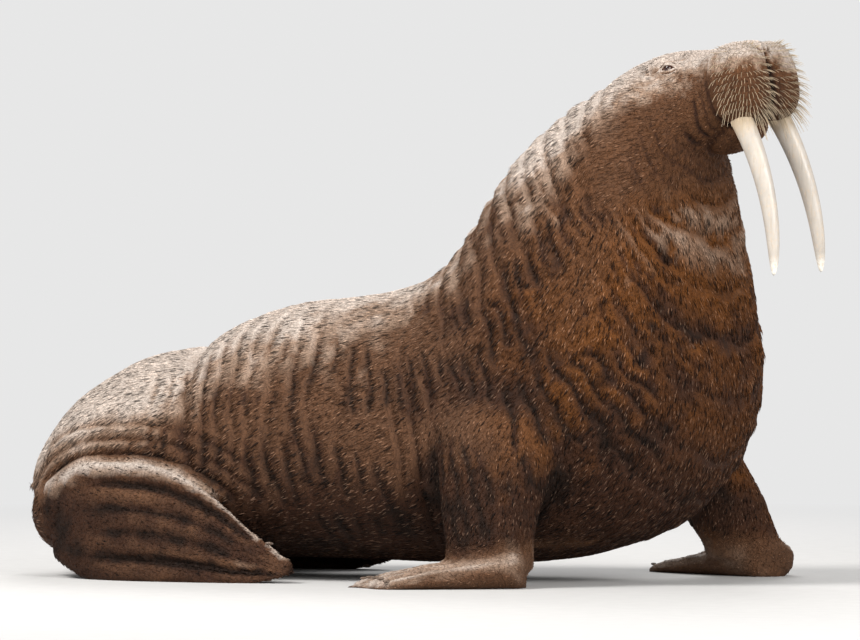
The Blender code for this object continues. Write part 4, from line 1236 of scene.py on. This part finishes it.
def tusk_line():
    """The middle line of the left tusk, in the head's own axes."""
    line = [TUSK_ROOT.copy()]
    splay = Matrix.Rotation(math.radians(TUSK_SPLAY_DEG), 3, "X")
    for step in range(TUSK_STEPS):
        lean = math.radians(TUSK_START_DEG - TUSK_CURVE_DEG * step / TUSK_STEPS)
        ahead = splay @ Vector((math.sin(lean), 0, -math.cos(lean)))
        line.append(line[-1] + ahead * TUSK_LENGTH / TUSK_STEPS)
    return np.array(line)


def tusk(side, name):
    """A tusk, oval in section, faintly grooved along and blunt at its tip."""
    line = tusk_line()

    def place(along, angle):
        steps = np.linspace(0, 1, len(line))
        middle = stacked(*(np.interp(along, steps, line[:, axis]) for axis in range(3)))
        lean = np.radians(TUSK_START_DEG - TUSK_CURVE_DEG * along)
        fore = stacked(np.cos(lean), np.zeros(len(lean)), np.sin(lean))
        thick = TUSK_THICK * (1 - TUSK_TAPER * along) * np.sqrt(np.maximum(1 - along**9, 0))
        groove = np.cos(angle * 2 + 0.6) * 0.5 + np.cos(angle * 7 + along * 2) * 0.25
        thick = thick - TUSK_GROOVE * groove * (1 - along)
        ahead = fore * (thick * np.cos(angle))[:, None]
        aside = np.array((0, 1, 0)) * (thick * TUSK_SIDE * np.sin(angle))[:, None]
        return on_head((middle + ahead + aside) * (1, side, 1))

    thing = put(name, wrapped(place, 90, 48))
    local = in_head(places_of(thing)) * (1, side, 1)
    steps = np.array([np.linalg.norm(line - spot, axis=1).argmin() for spot in local]) / TUSK_STEPS
    root = ease(steps, 0.26, 0.12)
    tip = ease(steps, 0.88, 1.0)
    stain = grain(local, np.array((70.0, 70.0, 9.0)), 3.0) * 0.5 + 0.5
    stained = np.clip(root * 0.8 + stain * 0.20, 0, 1)
    colour = mixed(np.array(IVORY), np.array(IVORY_STAIN), stained)
    coloured(thing, mixed(colour, np.array(IVORY_TIP), tip), "ivory")
    return thing


def pad_surface(around, up):
    """A point of the left pad's surface and the way it faces, from two angles in degrees."""
    around, up = math.radians(around), math.radians(up)
    way = np.array((math.cos(around) * math.cos(up), math.sin(around) * math.cos(up), math.sin(up)))
    size = (np.abs(way) ** PAD_SQUARENESS).sum() ** (-1 / PAD_SQUARENESS)
    slope = signed_power(way, PAD_SQUARENESS - 1) / PAD_RADII
    place = PAD_CENTRE + turned_flat(way * size * PAD_RADII, -PAD_TOE_OUT)
    slope = turned_flat(slope, -PAD_TOE_OUT)
    return place, slope / np.linalg.norm(slope)


def bristle_roots():
    """Root, direction, length and shade of every bristle of the left pad."""
    draw = np.random.default_rng(BRISTLE_SEED)
    line = tusk_line()
    found = []
    for row in range(BRISTLE_ROWS):
        down = row / (BRISTLE_ROWS - 1)
        for column in range(BRISTLE_COLUMNS):
            back = (column + 0.5 * (row % 2)) / (BRISTLE_COLUMNS - 0.5)
            stray = draw.uniform(-1, 1, 3) * BRISTLE_STRAY
            around = BRISTLE_FRONT_DEG + (BRISTLE_BACK_DEG - BRISTLE_FRONT_DEG) * back
            up = BRISTLE_TOP_DEG + (BRISTLE_LOW_DEG - BRISTLE_TOP_DEG) * down
            root, out = pad_surface(around + 14 * stray[0], up + 14 * stray[1])
            length = BRISTLE_LEAST + (BRISTLE_MOST - BRISTLE_LEAST) * (0.66 * down + 0.22 * back)
            length *= 1 + 2.2 * stray[2]
            out = out + np.array(BRISTLE_LEAN) + stray
            out /= np.linalg.norm(out)
            end = bristle_line(root, out, length)[-1]
            clear = min(np.linalg.norm(line - spot, axis=1).min() for spot in (end, root))
            if min(root[1], end[1]) > BRISTLE_CLEAR and clear > TUSK_THICK + BRISTLE_CLEAR:
                found.append((root, out, length, draw.uniform(0.75, 1.15)))
    return found


def bristle_line(root, out, length):
    """A bristle runs straight out of the pad and droops towards its tip."""
    reach = np.linspace(-BRISTLE_SUNK, length, BRISTLE_STEPS + 1)[:, None]
    droop = np.array(BRISTLE_FALL) * BRISTLE_DROOP
    return root + out * reach + droop * np.maximum(reach, 0) ** 2 / BRISTLE_MOST


def bristles(side, name):
    """The stiff whiskers of one pad, as tapering curved spines."""
    angles = np.arange(BRISTLE_SIDES) * math.tau / BRISTLE_SIDES
    sizes = np.linspace(BRISTLE_ROOT, BRISTLE_TIP, BRISTLE_STEPS + 1)
    shapes, colours = [], []
    for root, out, length, shade in bristle_roots():
        line = bristle_line(root, out, length)
        one = np.cross(out, (0, 0, 1.0))
        one /= np.linalg.norm(one)
        other = np.cross(one, out)
        rim = one * np.cos(angles)[:, None] + other * np.sin(angles)[:, None]
        shape = line[:, None, :] + rim[None] * sizes[:, None, None]
        shapes.append(shape.reshape(-1, 3))
        tone = np.linspace(0.45, 1.1, BRISTLE_STEPS + 1)[:, None] * shade
        colours.append(np.repeat(tone * np.array(STRAW), BRISTLE_SIDES, axis=0))
    faces = []
    for ring in range(BRISTLE_STEPS):
        for spot in range(BRISTLE_SIDES):
            here, ahead = ring * BRISTLE_SIDES, (ring + 1) * BRISTLE_SIDES
            beside = (spot + 1) % BRISTLE_SIDES
            faces.append((here + spot, here + beside, ahead + spot))
            faces.append((here + beside, ahead + beside, ahead + spot))
    last = BRISTLE_STEPS * BRISTLE_SIDES
    for spot in range(1, BRISTLE_SIDES - 1):
        faces += [(0, spot + 1, spot), (last, last + spot, last + spot + 1)]
    count = (BRISTLE_STEPS + 1) * BRISTLE_SIDES
    faces = np.array(faces)[None] + (np.arange(len(shapes)) * count)[:, None, None]
    points = on_head(np.concatenate(shapes) * (1, side, 1))
    faces = faces.reshape(-1, 3)
    if side < 0:
        faces = faces[:, ::-1]
    return mesh_of(name, points, faces, np.concatenate(colours), None)


def eye(side, name):
    """An eyeball: dark iris, a clear bulge over it, and a warm rim of white."""
    angle = math.radians(EYE_OUT_DEG)
    out = np.array((math.cos(angle), math.sin(angle) * side, 0))

    def place(points):
        along = points @ out
        bulge = 1 + 0.07 * ease(along, 0.78, 1.0)
        return on_head(points * bulge[:, None] * EYE_RADIUS + EYE_CENTRE * (1, side, 1))

    mesh = egg((0, 0, 0), (1, 1, 1), 5)
    facing = np.array([vertex.co for vertex in mesh.verts]) @ out
    thing = put(name, moved(mesh, place))
    colour = mixed(np.array(EYE_RIM), np.array(IRIS), ease(facing, 0.62, 0.72))
    coloured(thing, mixed(colour, np.array(PUPIL), ease(facing, 0.89, 0.92)), "iris")
    return thing


def nails():
    """The small blunt nails, set back from the tips of fingers and toes."""
    forms = []
    for side in (1, -1):
        for finger in range(FINGERS):
            angle = np.array([math.acos(2 * (finger + 0.5) / FINGERS - 1)])
            spot = hand_points(side, np.array([NAIL_PLACE]), angle)[0] - (0, 0, 0.002)
            mesh = egg((0, 0, 0), NAIL, 3)
            moved(mesh, lambda points, side=side: turned_flat(points, HAND_DEG[side]))
            forms.append(moved(mesh, lambda points, spot=spot: points + spot))
        for toe in range(TOES):
            angle = np.array([-math.acos(2 * (toe + 0.5) / TOES - 1)])
            spot = fan_points(side, np.array([NAIL_PLACE]), angle)[0] - (0, 0.003 * side, 0)
            forms.append(egg(spot, TOE_NAIL, 3))
    return joined("nails", forms)


# Materials
class Value:
    """A socket that takes part in shader maths."""

    def __init__(self, paint, socket):
        self.paint = paint
        self.socket = socket

    def __add__(self, other):
        return self.paint.maths("ADD", self, other)

    def __sub__(self, other):
        return self.paint.maths("SUBTRACT", self, other)

    def __rsub__(self, other):
        return self.paint.maths("SUBTRACT", other, self)

    def __mul__(self, other):
        return self.paint.maths("MULTIPLY", self, other)


class Paint:
    """A material under construction: its nodes are added by kind, settings and inputs."""

    def __init__(self, name, **constants):
        self.material = bpy.data.materials.new(name)
        self.material.use_nodes = True
        self.tree = self.material.node_tree
        self.shader = self.tree.nodes["Principled BSDF"]
        for socket, value in constants.items():
            self.shader.inputs[socket.replace("_", " ")].default_value = value

    def node(self, kind, settings, inputs, output=0):
        made = self.tree.nodes.new("ShaderNode" + kind)
        for name, value in settings.items():
            if name == "stops":
                self.set_stops(made.color_ramp, value)
            else:
                setattr(made, name, value)
        for name, value in inputs.items():
            self.feed(made.inputs[name], value)
        return Value(self, made.outputs[output])

    def set_stops(self, ramp, stops):
        while len(ramp.elements) < len(stops):
            ramp.elements.new(1.0)
        for element, (place, colour) in zip(ramp.elements, stops):
            element.position = place
            element.color = (*colour, 1) if isinstance(colour, tuple) else (colour, colour, colour, 1)

    def feed(self, socket, value):
        if isinstance(value, Value):
            self.tree.links.new(value.socket, socket)
        elif isinstance(value, tuple) and len(value) == 3 and socket.type == "RGBA":
            socket.default_value = (*value, 1)
        else:
            socket.default_value = value

    def maths(self, operation, one, other):
        return self.node("Math", {"operation": operation}, {0: one, 1: other})

    def place(self):
        return self.node("TexCoord", {}, {}, "Object")

    def attribute(self, name, output="Color"):
        return self.node("Attribute", {"attribute_name": name}, {}, output)

    def stretched(self, scale):
        return self.node("Mapping", {}, {"Vector": self.place(), "Scale": scale})

    def noise(self, fineness, detail=3.0, rough=0.55, scale=(1, 1, 1)):
        vector = self.stretched(scale) if scale != (1, 1, 1) else self.place()
        inputs = {"Vector": vector, "Scale": fineness, "Detail": detail, "Roughness": rough}
        return self.node("TexNoise", {}, inputs)

    def ramp(self, value, *stops):
        return self.node("ValToRGB", {"stops": stops}, {"Fac": value})

    def span(self, value, low, high, least, most):
        inputs = {"Value": value, "From Min": low, "From Max": high, "To Min": least, "To Max": most}
        return self.node("MapRange", {"clamp": True}, inputs)

    def blended(self, share, one, other, way="MIX"):
        settings = {"data_type": "RGBA", "blend_type": way, "clamp_factor": True}
        return self.node("Mix", settings, {0: share, 6: one, 7: other}, 2)

    def shaded(self, colour, value):
        return self.blended(1.0, colour, value, "MULTIPLY")

    def bump(self, height, depth, strength=1.0):
        normal = self.node("Bump", {}, {"Height": height, "Distance": depth, "Strength": strength})
        self.feed(self.shader.inputs["Normal"], normal)

    def wear(self, **links):
        for socket, value in links.items():
            self.feed(self.shader.inputs[socket.replace("_", " ")], value)
        return self.material


def hide_paint():
    """Short-haired hide: mottled, crossed by fine wrinkles darkened as painted shade, with pits where hair
    grows.
    """
    paint = Paint("hide", Specular_IOR_Level=0.16)
    wobble = paint.noise(26.0, 3.0)
    shaken = paint.node("VectorMath", {"operation": "SCALE"}, {0: wobble, 3: 0.03})
    lying = paint.stretched((1.0, 1.0, 0.55))
    vector = paint.node("VectorMath", {"operation": "ADD"}, {0: lying, 1: shaken})
    edges = paint.node("TexVoronoi", {"feature": "DISTANCE_TO_EDGE"}, {"Vector": vector, "Scale": 62.0})
    wrinkle = paint.span(edges, 0.0, 0.11, 1.0, 0.0)
    speck = paint.span(paint.noise(240.0, 2.0), 0.40, 0.62, 0.0, 1.0)
    cloud = paint.span(paint.noise(9.0, 4.0), 0.3, 0.7, 0.82, 1.16)
    colour = paint.shaded(paint.attribute("hide"), cloud)
    # Painted shade in the fine wrinkles
    colour = paint.shaded(colour, paint.span(wrinkle, 0.0, 1.0, 1.0, 0.72))
    colour = paint.shaded(colour, paint.span(speck, 0.0, 1.0, 0.80, 1.10))
    height = speck * 0.35 - wrinkle * 0.55 + paint.noise(70.0, 4.0, 0.6) * 0.9
    paint.bump(height, 0.0030, 0.9)
    return paint.wear(Base_Color=colour, Roughness=paint.span(speck, 0.0, 1.0, 0.62, 0.80))


def hair_paint():
    """Short coarse hair, a little glossy along its length."""
    paint = Paint("hair", Specular_IOR_Level=0.14)
    streak = paint.noise(150.0, 3.0, 0.6, (1.0, 1.0, 0.3))
    colour = paint.shaded(paint.attribute("hide"), paint.span(streak, 0.3, 0.7, 0.80, 1.18))
    paint.bump(streak, 0.0006, 0.6)
    return paint.wear(Base_Color=colour, Roughness=paint.span(streak, 0.3, 0.7, 0.55, 0.75))


def ivory_paint():
    """Tusk ivory: fine cracks and stains along it, worn smooth."""
    paint = Paint("ivory", Specular_IOR_Level=0.5)
    crack = paint.span(paint.noise(30.0, 5.0, 0.6, (4.0, 4.0, 0.35)), 0.56, 0.66, 0.0, 1.0)
    cloud = paint.span(paint.noise(22.0, 4.0, 0.6, (1.0, 1.0, 0.5)), 0.3, 0.7, 0.86, 1.08)
    freckle = paint.span(paint.noise(120.0, 2.0, 0.6, (1.0, 1.0, 0.6)), 0.56, 0.66, 0.0, 0.5)
    colour = paint.shaded(paint.attribute("ivory"), cloud)
    colour = paint.blended(crack * 0.30, colour, (0.42, 0.31, 0.20))
    colour = paint.blended(freckle, colour, (0.58, 0.46, 0.34))
    paint.bump(0.0 - crack + paint.noise(60.0, 3.0, 0.5, (2.0, 2.0, 0.3)), 0.0009, 0.6)
    return paint.wear(Base_Color=colour, Roughness=paint.span(cloud, 0.86, 1.08, 0.42, 0.26))


def eye_paint():
    """A wet dark eye."""
    paint = Paint("eye", Specular_IOR_Level=0.6, Coat_IOR=1.38)
    vein = paint.span(paint.noise(420.0, 4.0), 0.45, 0.65, 0.0, 0.35)
    colour = paint.blended(vein, paint.attribute("iris"), (0.20, 0.05, 0.03))
    return paint.wear(Base_Color=colour, Roughness=paint.span(vein, 0.0, 0.35, 0.05, 0.12))


def bristle_paint():
    """Stiff straw-coloured bristles, darker at the root."""
    paint = Paint("bristle", Specular_IOR_Level=0.5)
    streak = paint.noise(300.0, 2.0)
    colour = paint.shaded(paint.attribute("hide"), paint.span(streak, 0.3, 0.7, 0.85, 1.15))
    return paint.wear(Base_Color=colour, Roughness=paint.span(streak, 0.3, 0.7, 0.30, 0.45))


def nail_paint():
    """Dark horn streaked with paler horn."""
    paint = Paint("horn", Specular_IOR_Level=0.5)
    streak = paint.noise(160.0, 4.0)
    colour = paint.ramp(streak, (0.30, (0.05, 0.032, 0.022)), (0.62, (0.16, 0.11, 0.08)))
    paint.bump(streak, 0.0006, 0.6)
    return paint.wear(Base_Color=colour, Roughness=paint.span(streak, 0.3, 0.7, 0.30, 0.50))


def floor_paint():
    """A pale matte floor that fades into the backdrop's own light far off."""
    paint = Paint("floor", Roughness=0.9, Specular_IOR_Level=0.1)
    far = paint.node("VectorMath", {"operation": "LENGTH"}, {0: paint.place()}, "Value")
    fade = paint.span(far, 2.0, 7.0, 0.0, 1.0)
    grit = paint.span(paint.noise(14.0, 3.0), 0.3, 0.7, 0.54, 0.57)
    paint.wear(Base_Color=paint.ramp(grit, (0.0, 0.0), (1.0, 1.0)))
    glow = paint.node("Emission", {}, {"Color": BACKDROP, "Strength": 1.0})
    joint = paint.node("MixShader", {}, {0: fade, 1: Value(paint, paint.shader.outputs[0]), 2: glow})
    paint.tree.links.new(joint.socket, paint.tree.nodes["Material Output"].inputs["Surface"])
    return paint.material


def studio():
    """A plain floor, three soft lamps and an even backdrop."""
    mesh = bmesh.new()
    bmesh.ops.create_circle(mesh, cap_ends=True, segments=96, radius=FLOOR_RADIUS)
    floor = put("floor", mesh)
    floor.data.materials.append(floor_paint())
    for name, place, size, power, colour in LAMPS:
        data = bpy.data.lights.new(name, "AREA")
        data.shape = "DISK"
        data.size = size
        data.energy = power
        data.color = colour
        lamp = bpy.data.objects.new(name, data)
        lamp.location = place
        lamp.rotation_euler = (Vector(LAMP_AIM) - Vector(place)).to_track_quat("-Z", "Y").to_euler()
        bpy.context.scene.collection.objects.link(lamp)
    world = bpy.data.worlds.new("room")
    world.use_nodes = True
    bpy.context.scene.world = world
    tree = world.node_tree
    light = tree.nodes["Background"]
    light.inputs["Color"].default_value = (1, 1, 1, 1)
    light.inputs["Strength"].default_value = ROOM_LIGHT
    seen = tree.nodes.new("ShaderNodeBackground")
    seen.inputs["Color"].default_value = (*BACKDROP, 1)
    path = tree.nodes.new("ShaderNodeLightPath")
    both = tree.nodes.new("ShaderNodeMixShader")
    tree.links.new(path.outputs["Is Camera Ray"], both.inputs[0])
    tree.links.new(light.outputs[0], both.inputs[1])
    tree.links.new(seen.outputs[0], both.inputs[2])
    tree.links.new(both.outputs[0], tree.nodes["World Output"].inputs["Surface"])
    bpy.context.scene.view_settings.view_transform = "Standard"


def camera():
    """A long lens, at the picture's own angle and framing."""
    turn, rise = math.radians(CAMERA_TURN), math.radians(CAMERA_RISE)
    back = Vector((math.sin(turn) * math.cos(rise), -math.cos(turn) * math.cos(rise), math.sin(rise)))
    data = bpy.data.cameras.new("camera")
    data.lens = data.sensor_width * CAMERA_FAR / (PICTURE_WIDTH * DOT)
    data.clip_end = 400.0
    made = bpy.data.objects.new("camera", data)
    made.location = Vector((SHIFT.x, SHIFT.y, PICTURE_MIDDLE)) + back * CAMERA_FAR
    made.rotation_euler = back.to_track_quat("Z", "Y").to_euler()
    bpy.context.scene.collection.objects.link(made)
    bpy.context.scene.camera = made


def dressed(piece, material, nodes=()):
    """Sets a finished piece in the solids' frame, gives it its finish and lets it ride."""
    piece.data.transform(Matrix.Translation(SHIFT))
    piece.data.materials.clear()
    piece.data.materials.append(material)
    piece.data.shade_smooth()
    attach(piece, "root")
    if nodes:
        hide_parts(*nodes)


camera()
studio()
skin = hide()
places, facing = places_of(skin), normals_of(skin)
belongs = limbs_at(places)
hollow = hollowness(skin, places, facing)
hues = hide_colours(places, facing, hollow, belongs)
coloured(skin, hues)
hair = hair_paint()
for lock in coat(skin, places, facing, hues, belongs):
    dressed(lock, hair)
dressed(skin, hide_paint(), FLESH)
ivory, wet, stiff = ivory_paint(), eye_paint(), bristle_paint()
for side, side_name in SIDES:
    dressed(tusk(side, "ivory_" + side_name), ivory, ["tusk_" + side_name])
    dressed(eye(side, "eyeball_" + side_name), wet, ["eye_" + side_name])
    dressed(bristles(side, "bristles_" + side_name), stiff)
dressed(nails(), nail_paint())
